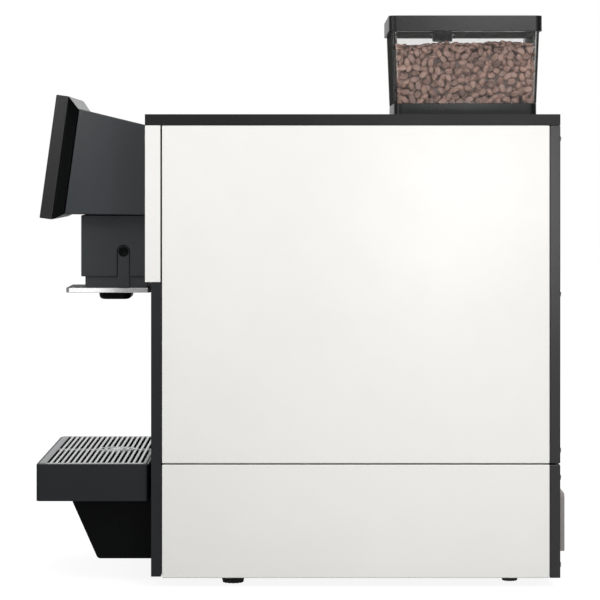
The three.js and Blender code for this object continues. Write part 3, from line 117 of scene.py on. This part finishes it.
class Finish:
    """A shader tree that is built one node at a time."""

    def __init__(self, name, tree=None):
        if tree is None:
            self.material = bpy.data.materials.new(name)
            self.material.use_nodes = True
            tree = self.material.node_tree
        self.tree = tree
        self.tree.nodes.clear()

    def add(self, kind, settings=None, sockets=None, out=0):
        """Adds a node with its settings and the values or links of its sockets."""
        node = self.tree.nodes.new("ShaderNode" + kind)
        for name, value in (settings or {}).items():
            setattr(node, name, value)
        for name, value in (sockets or {}).items():
            if isinstance(value, Wire):
                self.tree.links.new(value.socket, node.inputs[name])
            else:
                node.inputs[name].default_value = value
        return Wire(self, node.outputs[out]) if len(node.outputs) else None

    def place(self, stretch=(1, 1, 1)):
        """Object coordinates in metres, each axis multiplied by its stretch."""
        point = self.add("TexCoord", out="Object")
        return self.add("VectorMath", {"operation": "MULTIPLY"}, {0: point, 1: stretch})

    def part(self, axis):
        """The X, Y or Z of a point on the piece, in metres."""
        return self.add("SeparateXYZ", {}, {0: self.place()}, out=axis)

    def noise(self, scale, detail, stretch=(1, 1, 1), distortion=0.0):
        sockets = {"Vector": self.place(stretch), "Scale": scale}
        sockets.update({"Detail": detail, "Distortion": distortion})
        return self.add("TexNoise", {}, sockets)

    def cells(self, scale, feature="F1", out="Distance", stretch=(1, 1, 1)):
        sockets = {"Vector": self.place(stretch), "Scale": scale}
        return self.add("TexVoronoi", {"feature": feature}, sockets, out)

    def level(self, value, low, high, start=0.0, end=1.0):
        """value taken from the range low to high to the range start to end, and kept inside it."""
        return self.add("MapRange", {"clamp": True}, {0: value, 1: low, 2: high, 3: start, 4: end})

    def blend(self, first, second, amount):
        """A colour between two colours."""
        settings = {"data_type": "RGBA", "clamp_factor": True}
        return self.add("Mix", settings, {0: amount, 6: first, 7: second}, 2)

    def bump(self, height, depth, strength):
        return self.add("Bump", {}, {"Height": height, "Distance": depth, "Strength": strength})

    def surface(self, color, roughness, **sockets):
        """Ends the tree with a Principled shader, and returns the material."""
        inputs = {"Base Color": color, "Roughness": roughness, **sockets}
        self.close(self.add("BsdfPrincipled", {}, inputs))
        return self.material

    def close(self, shader, kind="OutputMaterial", **more):
        self.add(kind, {}, {"Surface": shader, **more})


def tone(red, green, blue):
    """A screen colour, 0 to 255, as the linear colour that a shader takes."""

    def linear(value):
        share = value / 255
        return share / 12.92 if share <= 0.04045 else ((share + 0.055) / 1.055) ** 2.4

    return (linear(red), linear(green), linear(blue), 1)


def shade(color, factor):
    return tuple(min(1, part * factor) for part in color[:3]) + (1,)


# The bean container, whose walls lean outwards from its foot


container_low, container_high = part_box("hopper_container")
container_height = container_high.z - container_low.z
container_middle_y = (container_low.y + container_high.y) / 2
container_wall = 3 * MM
container_lean = 3.1 * MM


def inner_face(height):
    """How far a wall's inner face is from the middle. The height is a number or a wire."""
    foot = container_high.x - container_wall - container_lean
    return (height - container_low.z) * (container_lean / container_height) + foot


# Finishes


def powder_coat(name, color):
    """Satin powder coat on steel: soft orange peel, and slight unevenness in colour and gloss."""
    finish = Finish(name)
    dust = tone(196, 192, 184)
    peel = finish.noise(430, 3) * 0.7 + finish.noise(1500, 1) * 0.3
    cloud = finish.noise(9, 3)
    speck = finish.level(finish.noise(900, 1), 0.74, 0.78)
    color = finish.blend(color, shade(color, 0.965), finish.level(cloud, 0.35, 0.7))
    color = finish.blend(color, dust, speck * 0.25)
    rough = 0.34 + finish.level(cloud, 0.3, 0.7, -0.04, 0.05) + speck * 0.1
    relief = finish.bump(peel, 0.12 * MM, 0.35)
    return finish.surface(color, rough, **{"Specular IOR Level": 0.32, "Normal": relief})


def moulded(name, color, roughness, grain, depth, gloss, mottle=0.12, top_sheen=0):
    """Spark-eroded plastic with fine grain, flow marks and rubbed spots.

    Grain is in cells to the metre, its depth in mm. top_sheen coats what faces up: painted sheen.
    """
    finish = Finish(name)
    flow = finish.noise(14, 3, (1, 1, 0.5))
    rub = finish.level(finish.noise(46, 4, (1, 1, 2)), 0.58, 0.72)
    color = finish.blend(color, shade(color, 1 + mottle), finish.level(flow, 0.3, 0.7))
    rough = roughness + finish.level(flow, 0.3, 0.7, -0.03, 0.03) - rub * mottle * 0.25
    grit = finish.cells(grain) + finish.noise(grain * 0.4, 2) * 0.6
    sockets = {"Specular IOR Level": gloss, "Normal": finish.bump(grit, depth * MM, 0.5)}
    if top_sheen:
        # A coat only on faces that look up: painted sheen on the tops
        normal = finish.add("TexCoord", out="Normal")
        sheen_faces = finish.add("SeparateXYZ", {}, {0: normal}, "Z").above(0.3)
        sockets.update({"Coat Weight": sheen_faces * top_sheen, "Coat Roughness": 0.15})
    return finish.surface(color, rough, **sockets)


def rolled_steel(name, color, along, roughness=0.3):
    """Drawn or brushed metal: fine lines along one direction, and cloudy gloss."""
    finish = Finish(name)
    lines = finish.noise(900, 2, along)
    cloud = finish.noise(18, 3)
    color = finish.blend(shade(color, 0.86), shade(color, 1.06), finish.level(lines, 0.3, 0.7))
    rough = roughness + finish.level(lines, 0.25, 0.75, -0.08, 0.1)
    rough = rough + finish.level(cloud, 0.3, 0.7, -0.04, 0.06)
    relief = finish.bump(lines, 0.03 * MM, 0.5)
    return finish.surface(color, rough, Metallic=1.0, Normal=relief)


def steel_dark_on_top(name, color, dark_top_level):
    """Polished steel, black, dull and not metal on its upper face, above the height
    dark_top_level.
    """
    finish = Finish(name)
    lines = finish.noise(900, 2, (0.04, 1, 1))
    dark_top = finish.part("Z").above(dark_top_level)
    bare = finish.blend(shade(color, 0.94), shade(color, 1.04), finish.level(lines, 0.3, 0.7))
    color = finish.blend(bare, tone(14, 15, 16), dark_top)
    rough = finish.level(lines, 0.25, 0.75, 0.1, 0.2) + dark_top * 0.3
    relief = finish.bump(lines, 0.02 * MM, 0.4)
    sockets = {"Metallic": 1 - dark_top, "Specular IOR Level": 0.2, "Normal": relief}
    return finish.surface(color, rough, **sockets)


def galvanised(name, color):
    """Zinc-coated sheet: large crystals, each a slightly different grey."""
    finish = Finish(name)
    crystals = finish.cells(160, out="Color")
    grey = finish.add("SeparateColor", {}, {0: crystals})
    color = finish.blend(shade(color, 0.8), shade(color, 1.1), grey)
    rough = finish.level(grey, 0, 1, 0.34, 0.52)
    relief = finish.bump(finish.noise(500, 2), 0.03 * MM, 0.4)
    return finish.surface(color, rough, Metallic=0.9, Normal=relief)


def cast_metal(name, color):
    """Painted casting with a sand-like skin."""
    finish = Finish(name)
    skin = finish.noise(760, 4)
    color = finish.blend(shade(color, 0.9), shade(color, 1.12), finish.noise(60, 3))
    relief = finish.bump(skin, 0.2 * MM, 0.6)
    rough = finish.level(skin, 0.3, 0.7, 0.42, 0.6)
    return finish.surface(color, rough, Metallic=0.5, Normal=relief)


def touch_glass(name):
    """Dark cover glass with light finger smears."""
    finish = Finish(name)
    smear = finish.level(finish.noise(34, 5, (1, 1, 0.4), 1.5), 0.5, 0.78)
    color = finish.blend(tone(9, 10, 12), tone(16, 17, 20), smear * 0.5)
    rough = finish.level(smear, 0, 1, 0.05, 0.2)
    sockets = {"Specular IOR Level": 0.4, "Coat Weight": 0.4, "Coat Roughness": 0.03}
    return finish.surface(color, rough, **sockets)


def corner_shade_mask(finish):
    """1 in the container's four corners, where a wall is seen through its whole length: the mask
    of the painted shade there.
    """
    inner = inner_face(finish.part("Z"))
    beyond_x = finish.part("X").unsigned() - inner
    beyond_y = (finish.part("Y") - container_middle_y).unsigned() - inner
    return finish.level(beyond_x.smaller(beyond_y), -0.9 * MM, -0.3 * MM)


def clear_plastic(name, rim):
    """Clear plastic with painted shade, a dark diffuse face, where its walls are seen edge on and
    in its corners. Shadow rays pass.
    """
    finish = Finish(name)
    scratch = finish.level(finish.noise(300, 2, (0.15, 0.15, 1)), 0.66, 0.74)
    sockets = {
        "Base Color": (0.95, 0.95, 0.945, 1),
        "Roughness": 0.04 + scratch * 0.12,
        "Transmission Weight": 1.0,
        "IOR": 1.42,
        "Normal": finish.bump(finish.noise(26, 2), 0.05 * MM, 0.25),
    }
    body = finish.add("BsdfPrincipled", {}, sockets)
    facing = finish.add("LayerWeight", {}, {"Blend": 0.5}, "Facing")
    # A dark diffuse face: painted shade where walls are seen edge on and in the corners
    edge = finish.add("BsdfDiffuse", {}, {"Color": rim})
    grazing_shade = finish.level(facing, 0.5, 0.9, 0, 0.96)
    amount = grazing_shade.larger(corner_shade_mask(finish) * 0.94)
    body = finish.add("MixShader", {}, {0: amount, 1: body, 2: edge})
    through = finish.add("BsdfTransparent", {}, {0: (0.9, 0.9, 0.9, 1)})
    is_shadow = finish.add("LightPath", out="Is Shadow Ray")
    shader = finish.add("MixShader", {}, {0: is_shadow, 1: body, 2: through})
    depth = finish.add("VolumeAbsorption", {}, {"Color": (0.2, 0.2, 0.19, 1), "Density": 22.0})
    finish.close(shader, Volume=depth)
    return finish.material


def roasted(name):
    """Roasted beans: each has its own roast, with fine wrinkles and an oily gloss."""
    finish = Finish(name)
    roast = finish.add("Attribute", {"attribute_name": "roast"}, out="Fac")
    skin = finish.noise(520, 4, distortion=0.4)
    color = finish.blend(tone(90, 65, 56), tone(150, 119, 106), roast)
    color = finish.blend(color, tone(176, 148, 134), finish.level(skin, 0.55, 0.8) * 0.4)
    rough = finish.level(skin, 0.3, 0.7, 0.34, 0.55)
    relief = finish.bump(skin, 0.25 * MM, 0.6)
    return finish.surface(color, rough, **{"Specular IOR Level": 0.5, "Normal": relief})


def rubber(name, color):
    """Dull rubber with a pale bloom."""
    finish = Finish(name)
    bloom = finish.noise(120, 4)
    color = finish.blend(color, shade(color, 1.5), finish.level(bloom, 0.4, 0.75))
    relief = finish.bump(finish.cells(1500), 0.06 * MM, 0.5)
    rough = finish.level(bloom, 0.3, 0.7, 0.62, 0.8)
    return finish.surface(color, rough, **{"Specular IOR Level": 0.25, "Normal": relief})


def hose_silicone(name):
    """Milky silicone hose."""
    finish = Finish(name)
    cloud = finish.noise(70, 3)
    color = finish.blend(tone(214, 209, 196), tone(190, 184, 168), cloud)
    rough = finish.level(cloud, 0.3, 0.7, 0.34, 0.5)
    return finish.surface(color, rough, **{"Subsurface Weight": 0.15, "Specular IOR Level": 0.4})


def circuit(name, chip_level):
    """Green board with copper runs under its mask, and dark chips on the side of -X."""
    finish = Finish(name)
    runs = finish.cells(240, "DISTANCE_TO_EDGE", stretch=(0, 1, 1))
    color = finish.blend(tone(52, 122, 76), tone(22, 74, 44), finish.level(runs, 0.02, 0.08))
    chip = 1 - finish.part("X").above(chip_level)
    color = finish.blend(color, tone(28, 29, 31), chip)
    return finish.surface(color, 0.35 + chip * 0.2, **{"Specular IOR Level": 0.4})


def grille_steel(name, color, front, back):
    """Brushed grille. Its margins in front of the first slot and behind the last are duller."""
    finish = Finish(name)
    lines = finish.noise(2600, 1, (0.02, 1, 1))
    first_slot = front + 7.9 * MM
    last_slot = back - 3.1 * MM
    depth = finish.part("Y")
    margin = 1 - depth.above(first_slot) + depth.above(last_slot)
    color = finish.blend(shade(color, 0.88), shade(color, 1.05), finish.level(lines, 0.3, 0.7))
    color = finish.blend(color, tone(150, 151, 153), margin * 0.9)
    rough = 0.3 + finish.level(lines, 0.3, 0.7, -0.04, 0.05) + margin * 0.06
    relief = finish.bump(lines, 0.01 * MM, 0.12)
    return finish.surface(color, rough, Metallic=1.0, Normal=relief)


# Where a finish changes on one piece: just under the plate's top, and just off the board's face
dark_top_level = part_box("spout_plate")[1].z - 0.35 * MM
chip_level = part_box("control_board")[1].x - 1.8 * MM
grille_low, grille_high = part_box("drip_grille")

# Moulded pieces: their roughness, grain, depth of the grain, gloss, mottle and top sheen (painted)
cover_grain = moulded("cover_grain", tone(20, 20, 21), 0.42, 1700, 0.06, 0.24)
anthracite = moulded("anthracite", tone(26, 32, 36), 0.36, 2100, 0.04, 0.6)
dark_grain = moulded("dark_grain", tone(19, 23, 25), 0.38, 2000, 0.04, 0.36)
frame_grey = moulded("frame_grey", tone(36, 36, 37), 0.36, 1700, 0.05, 0.5)
display_grey = moulded("display_grey", tone(30, 30, 32), 0.38, 2300, 0.03, 0.32)
satin_black = moulded("satin_black", tone(7, 8, 9), 0.32, 2400, 0.02, 0.08, 0.3)
display_black = moulded("display_black", tone(7, 8, 9), 0.32, 2400, 0.02, 0.08, 0.3, 0.8)
lid_grain = moulded("lid_grain", tone(20, 20, 21), 0.26, 2300, 0.015, 0.5, 0.05)
base_grain = moulded("base_grain", tone(24, 25, 26), 0.26, 2300, 0.015, 0.4, 0.05)
taupe = moulded("taupe", tone(164, 159, 156), 0.6, 1500, 0.08, 0.2, 0.06)

# Painted, rubber, glass and metal pieces, hoses, beans and the board
white_paint = powder_coat("white_paint", tone(241, 240, 236))
foot_rubber = rubber("foot_rubber", tone(70, 70, 69))
# A paler copy of the foot rubber for the rear feet: painted light on them
rear_lit_rubber = rubber("rear_lit_rubber", tone(124, 124, 122))
screen_glass = touch_glass("screen_glass")
# The second colour is the painted shade on the container's edge-on walls and corners
clear_wall = clear_plastic("clear_wall", tone(34, 33, 30))
plate_steel = steel_dark_on_top("plate_steel", tone(224, 224, 224), dark_top_level)
brushed_steel = rolled_steel("brushed_steel", tone(196, 197, 198), (1, 1, 0.05))
sheet_steel = galvanised("sheet_steel", tone(178, 180, 182))
cast_grey = cast_metal("cast_grey", tone(112, 116, 120))
brass = rolled_steel("brass", tone(196, 160, 88), (1, 0.1, 1), 0.28)
bean_skin = roasted("bean_skin")
silicone = hose_silicone("silicone")
board_green = circuit("board_green", chip_level)
grille_finish = grille_steel("grille_finish", tone(236, 237, 238), grille_low.y, grille_high.y)


# Frame pieces: their finishes, and edges broken as moulded and folded pieces have them


SHARP_EDGE = math.radians(32)


def smoothing_group():
    """Geometry nodes that shade a mesh smooth, apart from its sharp edges."""
    group = bpy.data.node_groups.new("smooth_faces", "GeometryNodeTree")
    group.interface.new_socket("Geometry", in_out="INPUT", socket_type="NodeSocketGeometry")
    group.interface.new_socket("Geometry", in_out="OUTPUT", socket_type="NodeSocketGeometry")
    start = group.nodes.new("NodeGroupInput")
    end = group.nodes.new("NodeGroupOutput")
    normal = group.nodes.new("GeometryNodeSetMeshNormal")
    normal.mode = "SHARPNESS"
    normal.inputs["Remove Custom"].default_value = True
    angle = group.nodes.new("GeometryNodeInputMeshEdgeAngle")
    sharp = group.nodes.new("FunctionNodeCompare")
    sharp.operation = "GREATER_THAN"
    sharp.inputs[1].default_value = SHARP_EDGE
    group.links.new(angle.outputs["Unsigned Angle"], sharp.inputs[0])
    group.links.new(start.outputs[0], normal.inputs["Mesh"])
    group.links.new(sharp.outputs[0], normal.inputs["Edge Sharpness"])
    group.links.new(normal.outputs[0], end.inputs[0])
    return group


smooth_faces = smoothing_group()


def break_edges(piece, width):
    """Joins the mesh's loose triangles, shades its curves smooth and rounds its edges.

    The width of an edge is in mm, and 0 leaves the edges sharp.
    """
    weld = piece.modifiers.new("weld", "WELD")
    weld.merge_threshold = 0.01 * MM
    flats = piece.modifiers.new("flats", "DECIMATE")
    flats.decimate_type = "DISSOLVE"
    flats.angle_limit = math.radians(0.4)
    smooth = piece.modifiers.new("smooth", "NODES")
    smooth.node_group = smooth_faces
    if width:
        edge = piece.modifiers.new("edges", "BEVEL")
        edge.width = width * MM
        edge.segments = 2
        edge.limit_method = "ANGLE"
        edge.angle_limit = SHARP_EDGE
        edge.harden_normals = True


def dress(finish, width, *names):
    """Gives frame pieces a finish and edges of one width, in mm."""
    for name in names:
        piece = nodes[name]
        for material_slot in piece.material_slots:
            material_slot.link = "OBJECT"
            material_slot.material = finish
        break_edges(piece, width)


dress(white_paint, 1.5, "side_panel_left_upper", "side_panel_right_upper")
dress(white_paint, 1.5, "side_panel_left_lower", "side_panel_right_lower", "door_panel")
dress(cover_grain, 1.0, "top_cover")
dress(frame_grey, 0.8, "rear_cover_upper", "rear_cover_lower")
dress(dark_grain, 0.8, "splash_wall", "door_liner")
dress(taupe, 1.0, "connection_cover")
dress(display_grey, 1.0, "display_bezel")
dress(screen_glass, 0.5, "display_glass")
dress(display_black, 1.0, "display_back")
dress(anthracite, 1.2, "head_housing")
dress(anthracite, 1.0, "spout_housing", "spout_slider")
dress(plate_steel, 0.6, "spout_plate")
dress(satin_black, 0.8, "spout_nozzle", "lid_lock")
dress(dark_grain, 1.0, "drip_tray", "grounds_container")
dress(satin_black, 1.2, "tray_support")
dress(grille_finish, 0.3, "drip_grille")
dress(lid_grain, 1.0, "hopper_lid")
dress(base_grain, 0.8, "hopper_base")
dress(clear_wall, 0.5, "hopper_container")
dress(foot_rubber, 0.5, "levelling_foot_front_left", "levelling_foot_front_right")
# The rear feet take the paler rubber copy: painted light
dress(rear_lit_rubber, 0.5, "levelling_foot_rear_left", "levelling_foot_rear_right")
dress(sheet_steel, 0.3, "base_pan", "component_deck", "top_frame")
dress(sheet_steel, 0.3, "front_post_left", "front_post_right")
dress(brushed_steel, 0.3, "hopper_gate", "brew_frame", "brew_spindle", "boiler")
dress(brushed_steel, 0.3, "upper_burr", "lower_burr")
dress(brushed_steel, 0.3, "door_hinge_pin_upper", "door_hinge_pin_lower")
dress(cast_grey, 0.6, "grinder_housing", "grinder_motor", "brew_motor", "pump")
dress(dark_grain, 0.5, "brew_cylinder", "brew_piston", "grounds_chute", "mains_switch")
dress(satin_black, 0.5, "mains_inlet", "fan_frame", "fan_rotor")
dress(brass, 0.4, "water_inlet")
dress(board_green, 0, "control_board")
dress(silicone, 0, "feed_hose", "brew_hose")


# Pieces made here


def mesh_piece(name, bm, finish, body):
    """Makes a smooth piece of the part from a bmesh, and frees the bmesh."""
    mesh = bpy.data.meshes.new(name)
    bm.to_mesh(mesh)
    bm.free()
    mesh.materials.append(finish)
    mesh.polygons.foreach_set("use_smooth", [True] * len(mesh.polygons))
    piece = bpy.data.objects.new(name, mesh)
    scene.collection.objects.link(piece)
    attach(piece, body)
    return piece


def turned(bm, profile, sides, middle, outward):
    """Turns a profile of (radius, height) in mm around outward, with its foot at middle."""
    across = Vector((0, 0, 1))
    up = outward.cross(across)
    angles = [2 * math.pi * side / sides for side in range(sides)]
    spokes = [across * math.cos(angle) + up * math.sin(angle) for angle in angles]
    rings = []
    for radius, height in profile:
        centre = middle + outward * height * MM
        rings.append([bm.verts.new(centre + spoke * radius * MM) for spoke in spokes])
    for lower, upper in zip(rings, rings[1:]):
        for side in range(sides):
            after = (side + 1) % sides
            bm.faces.new((lower[side], lower[after], upper[after], upper[side]))
    bm.faces.new(rings[0])
    bm.faces.new(rings[-1])
    bmesh.ops.recalc_face_normals(bm, faces=bm.faces)


# Guide pin of the spout: a black cap on each end


def halfway(values):
    return (min(values) + max(values)) / 2


def pin_caps():
    """A dished cap on each end of the pin, whose ends are the slider's outermost faces."""
    profile = [(5.9, -0.2), (5.9, 0.35), (5.6, 0.6), (4.0, 0.75), (3.6, 0.4), (1.2, 0.35)]
    pin_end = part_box("spout_slider")[1].x
    points = [vertex.co for vertex in nodes["spout_slider"].data.vertices]
    rim = [point for point in points if point.x > pin_end - 0.1 * MM]
    y = halfway([point.y for point in rim])
    z = halfway([point.z for point in rim])
    for name, side in (("pin_cap_right", 1), ("pin_cap_left", -1)):
        bm = bmesh.new()
        turned(bm, profile, 48, Vector((side * pin_end, y, z)), Vector((side, 0, 0)))
        mesh_piece(name, bm, satin_black, "spout")


pin_caps()


# Screws of the two rear covers


def cover_screws(name, cover, heights):
    """Button-head screws with a round socket, in two columns near the cover's sides.

    Their heights are in mm above the cover's foot.
    """
    profile = [(3.9, -0.2), (3.9, 0.5), (3.5, 1.2), (2.5, 1.7), (1.6, 1.8), (1.5, 1.5), (1.4, 0.7)]
    low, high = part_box(cover)
    column = high.x - 11 * MM
    bm = bmesh.new()
    for x in (-column, column):
        for height in heights:
            seat = Vector((x, high.y, low.z + height * MM))
            turned(bm, profile, 32, seat, Vector((0, 1, 0)))
    mesh_piece(name, bm, brushed_steel, "chassis")


cover_screws("screws_upper", "rear_cover_upper", (13.9, 187.9, 360.9))
cover_screws("screws_lower", "rear_cover_lower", (14, 111))


# Coffee beans


def bean_shape(sides, rings):
    """Points and faces of a bean, in mm: domed on +z, flat with a long crease on -z."""
    half_length = 5.1
    half_width = 3.7
    dome = 3.0
    flat_side = 1.7
    crease_width = 0.9
    crease_depth = 1.15
    points = [Vector((-half_length, 0, 0))]
    for ring in range(1, rings + 1):
        turn = math.pi * ring / (rings + 1)
        along = -half_length * math.cos(turn)
        reach = math.sin(turn) ** 0.8
        for side in range(sides):
            angle = 2 * math.pi * side / sides
            across = half_width * reach * math.cos(angle)
            up = reach * math.sin(angle)
            if up < 0:
                crease = math.exp(-((across / crease_width) ** 2)) * reach
                up = flat_side * up + crease_depth * crease
            else:
                up *= dome
            points.append(Vector((along, across, up)))
    points.append(Vector((half_length, 0, 0)))
    faces = []
    last = len(points) - 1
    last_ring = 1 + (rings - 1) * sides
    for side in range(sides):
        after = (side + 1) % sides
        faces.append((0, 1 + after, 1 + side))
        for ring in range(rings - 1):
            near = 1 + ring * sides
            far = near + sides
            faces.append((near + side, near + after, far + after, far + side))
        faces.append((last_ring + side, last_ring + after, last))
    return points, faces


def scatter(width, height, spacing, chance):
    """Points in a rectangle, none closer to another than spacing."""
    tries_per_place = 14
    found = []
    cells = {}
    for _ in range(int(width * height / spacing**2 * tries_per_place)):
        u = chance.uniform(0, width)
        v = chance.uniform(0, height)
        cell = (int(u // spacing), int(v // spacing))
        near = [
            other
            for i in (-1, 0, 1)
            for j in (-1, 0, 1)
            for other in cells.get((cell[0] + i, cell[1] + j), [])
        ]
        if all((u - a) ** 2 + (v - b) ** 2 > spacing**2 for a, b in near):
            cells.setdefault(cell, []).append((u, v))
            found.append((u, v))
    return found


def heap(point):
    """How far the uneven heap stands above the CAD solid's top: two waves across it."""
    slow = math.sin(34 * point.x + 21 * point.y + 0.6) * 1.5
    quick = math.sin(95 * point.y - 40 * point.x + 1.9) * 1.1
    return (slow + quick + 2.4) * MM


def within_walls(point):
    """Keeps a point of a bean just inside the container's walls."""
    reach = inner_face(point.z) - 0.15 * MM
    point.x = min(reach, max(-reach, point.x))
    point.y = container_middle_y + min(reach, max(-reach, point.y - container_middle_y))
    return point


def add_beans(bm, roast, face, layer, chance):
    """Lays one layer of beans against a face of the pile.

    A face is a corner, the directions along and up it, its width and its height. A layer is the
    shape of its beans, their distance from each other and their depth under the face.
    """
    corner, along, up, width, height = face
    (points, faces), spacing, depth = layer
    outward = along.cross(up).normalized()
    basis = Matrix((along, up, outward)).transposed()
    on_top = outward.z > 0.9
    crest = height - 4 * MM
    for u, v in scatter(width, height, spacing, chance):
        half_turn = math.pi if chance.random() < 0.55 else 0
        grow = chance.uniform(0.86, 1.08) * MM
        turn = Matrix.Rotation(chance.uniform(0, 2 * math.pi), 3, "Z")
        pitch = Matrix.Rotation(chance.gauss(0, 0.3), 3, "X")
        roll = Matrix.Rotation(chance.gauss(0, 0.22), 3, "Y")
        pose = basis @ (pitch @ roll) @ turn @ Matrix.Rotation(half_turn, 3, "X")
        placed = [pose @ point * grow for point in points]
        reach = max(point.dot(outward) for point in placed)
        middle = corner + along * u + up * v
        if on_top:
            middle.z += heap(middle)
        elif v > crest + heap(middle):
            continue
        middle -= outward * (reach + depth + chance.uniform(0, 0.9) * MM)
        vertices = [bm.verts.new(within_walls(point + middle)) for point in placed]
        tint = min(1, max(0, chance.gauss(0.6, 0.2)))
        for vertex in vertices:
            vertex[roast] = tint
        for corners in faces:
            bm.faces.new([vertices[i] for i in corners])


def bean_core(bm, roast, low, high):
    """A dark rough lump inside the pile, so no gap between beans shows through: painted shade.

    It is the first thing in its bmesh.
    """
    inset = Vector((8, 8, 8)) * MM
    size = high - low - inset * 2
    centre = (low + high) / 2
    bmesh.ops.create_cube(bm, size=1)
    for vertex in bm.verts:
        vertex.co = Vector([vertex.co[i] * size[i] + centre[i] for i in range(3)])
    bmesh.ops.subdivide_edges(bm, edges=bm.edges[:], cuts=14, use_grid_fill=True)
    chance = random.Random(5)
    for vertex in bm.verts:
        vertex.co += Vector([chance.uniform(-1, 1) * MM for _ in range(3)])
        # Roast 0, the darkest bean colour: painted shade in the gaps between beans
        vertex[roast] = 0.0


def coffee_beans():
    """Beans in two layers against the container's walls and on top, around a dark core."""
    low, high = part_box("coffee_beans")
    chance = random.Random(11)
    bm = bmesh.new()
    roast = bm.verts.layers.float.new("roast")
    bean_core(bm, roast, low, high - Vector((0, 0, 2 * MM)))
    fine = bean_shape(12, 6)
    plain = bean_shape(8, 4)
    half = (high.x - low.x) / 2 + 2.7 * MM
    middle = Vector((0, (low.y + high.y) / 2, 0))
    foot = Vector((0, 0, low.z))
    foot_half = half - container_lean
    side_half = foot_half - 2.5 * MM
    height = high.z - low.z - 4 * MM
    lean = container_lean * height / container_height
    for outward in (Vector((1, 0, 0)), Vector((-1, 0, 0)), Vector((0, 1, 0)), Vector((0, -1, 0))):
        along = Vector((0, 0, 1)).cross(outward)
        up = (Vector((0, 0, height)) + outward * lean).normalized()
        corner = middle + foot + outward * foot_half - along * side_half
        face = (corner, along, up, 2 * side_half, height)
        add_beans(bm, roast, face, (fine, 6.6 * MM, 0.2 * MM), chance)
        add_beans(bm, roast, face, (plain, 7.4 * MM, 4.2 * MM), chance)
    top_half = half - 4 * MM
    corner = middle + Vector((-top_half, -top_half, high.z))
    face = (corner, Vector((1, 0, 0)), Vector((0, 1, 0)), 2 * top_half, 2 * top_half)
    add_beans(bm, roast, face, (fine, 6.8 * MM, 0.2 * MM), chance)
    add_beans(bm, roast, face, (plain, 7.4 * MM, 3.6 * MM), chance)
    piece = mesh_piece("bean_charge", bm, bean_skin, "hopper")
    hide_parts("coffee_beans")


coffee_beans()


# Floor and light


def seen_directly(finish):
    """1 for camera rays and rays through glass, which see the white background."""
    camera = finish.add("LightPath", out="Is Camera Ray")
    glass = finish.add("LightPath", out="Is Transmission Ray")
    return camera.larger(glass)


def make_floor():
    """A white floor that keeps a faint shadow. Diffuse and mirror rays see it dimmer."""
    reach = 9
    bm = bmesh.new()
    for x, y in ((-reach, -reach), (reach, -reach), (reach, reach), (-reach, reach)):
        bm.verts.new((x, y, 0))
    bm.faces.new(bm.verts)
    mesh = bpy.data.meshes.new("floor")
    bm.to_mesh(mesh)
    bm.free()
    finish = Finish("floor_white")
    seen = seen_directly(finish)
    mirrored = finish.add("LightPath", out="Is Glossy Ray")
    albedo = finish.blend((0.43, 0.43, 0.43, 1), (1, 1, 1, 1), seen)
    lit = finish.add("BsdfDiffuse", {}, {0: albedo})
    plain = finish.add("Emission", {}, {0: (1, 1, 1, 1), 1: 1.1})
    amount = seen * 0.82 + mirrored * 0.08
    finish.close(finish.add("MixShader", {}, {0: amount, 1: lit, 2: plain}))
    mesh.materials.append(finish.material)
    floor = bpy.data.objects.new("floor", mesh)
    scene.collection.objects.link(floor)


def make_world():
    """White for camera and glass rays. Diffuse rays see a soft light, brighter from above.

    Mirror rays see a backdrop on the left, a tall window on the right and a ceiling.
    """
    world = bpy.data.worlds.new("studio")
    scene.world = world
    world.use_nodes = True
    finish = Finish("studio", world.node_tree)
    direction = finish.add("TexCoord", out="Generated")
    across = finish.add("SeparateXYZ", {}, {0: direction}, "X")
    height = finish.add("SeparateXYZ", {}, {0: direction}, "Z")
    soft = finish.level(height, -0.5, 1.0, 0.42, 0.8)
    backdrop = finish.level(0 - across, 0.35, 0.8)
    window = finish.level(across, 0.5, 0.9) * finish.level(height, -0.12, 0.22, 0, 0.85)
    ceiling = finish.level(height, 0.45, 0.85, 0, 1.6)
    studio = 0.06 + backdrop * 0.54 + window + ceiling
    mirrored = finish.add("LightPath", out="Is Glossy Ray")
    strength = mirrored * studio + (1 - mirrored) * soft
    seen = seen_directly(finish)
    strength = strength * (1 - seen) + seen
    finish.close(finish.add("Background", {}, {0: (1, 1, 1, 1), 1: strength}), "OutputWorld")


def soft_lamp(name, place, aim, size, power):
    """A square lamp at place that shines at aim. The power is in watts."""
    light = bpy.data.lights.new(name, "AREA")
    light.shape = "SQUARE"
    light.size = size
    light.energy = power
    lamp = bpy.data.objects.new(name, light)
    lamp.location = place
    lamp.rotation_euler = (Vector(aim) - Vector(place)).to_track_quat("-Z", "Y").to_euler()
    lamp.visible_camera = False
    scene.collection.objects.link(lamp)


make_floor()
make_world()
soft_lamp("key_lamp", (1.1, 0.4, 0.98), (0.16, 0.13, 0.34), 0.6, 4.5)
soft_lamp("side_lamp", (0.9, 0.232, 0.42), (0.16, 0.19, 0.42), 0.11, 1.05)
soft_lamp("head_lamp", (0.45, -0.37, 0.585), (0.1, -0.27, 0.5), 0.1, 0.22)
soft_lamp("plate_lamp", (1.5, -0.46, 0.3), (0.05, -0.25, 0.32), 0.27, 0.28)
soft_lamp("front_lamp", (0.9, -2.2, 1.3), (0, 0, 0.35), 1.2, 8)
soft_lamp("back_lamp", (-1.6, 1.4, 1.3), (0, 0.1, 0.35), 1.2, 18)

scene.view_settings.view_transform = "Standard"
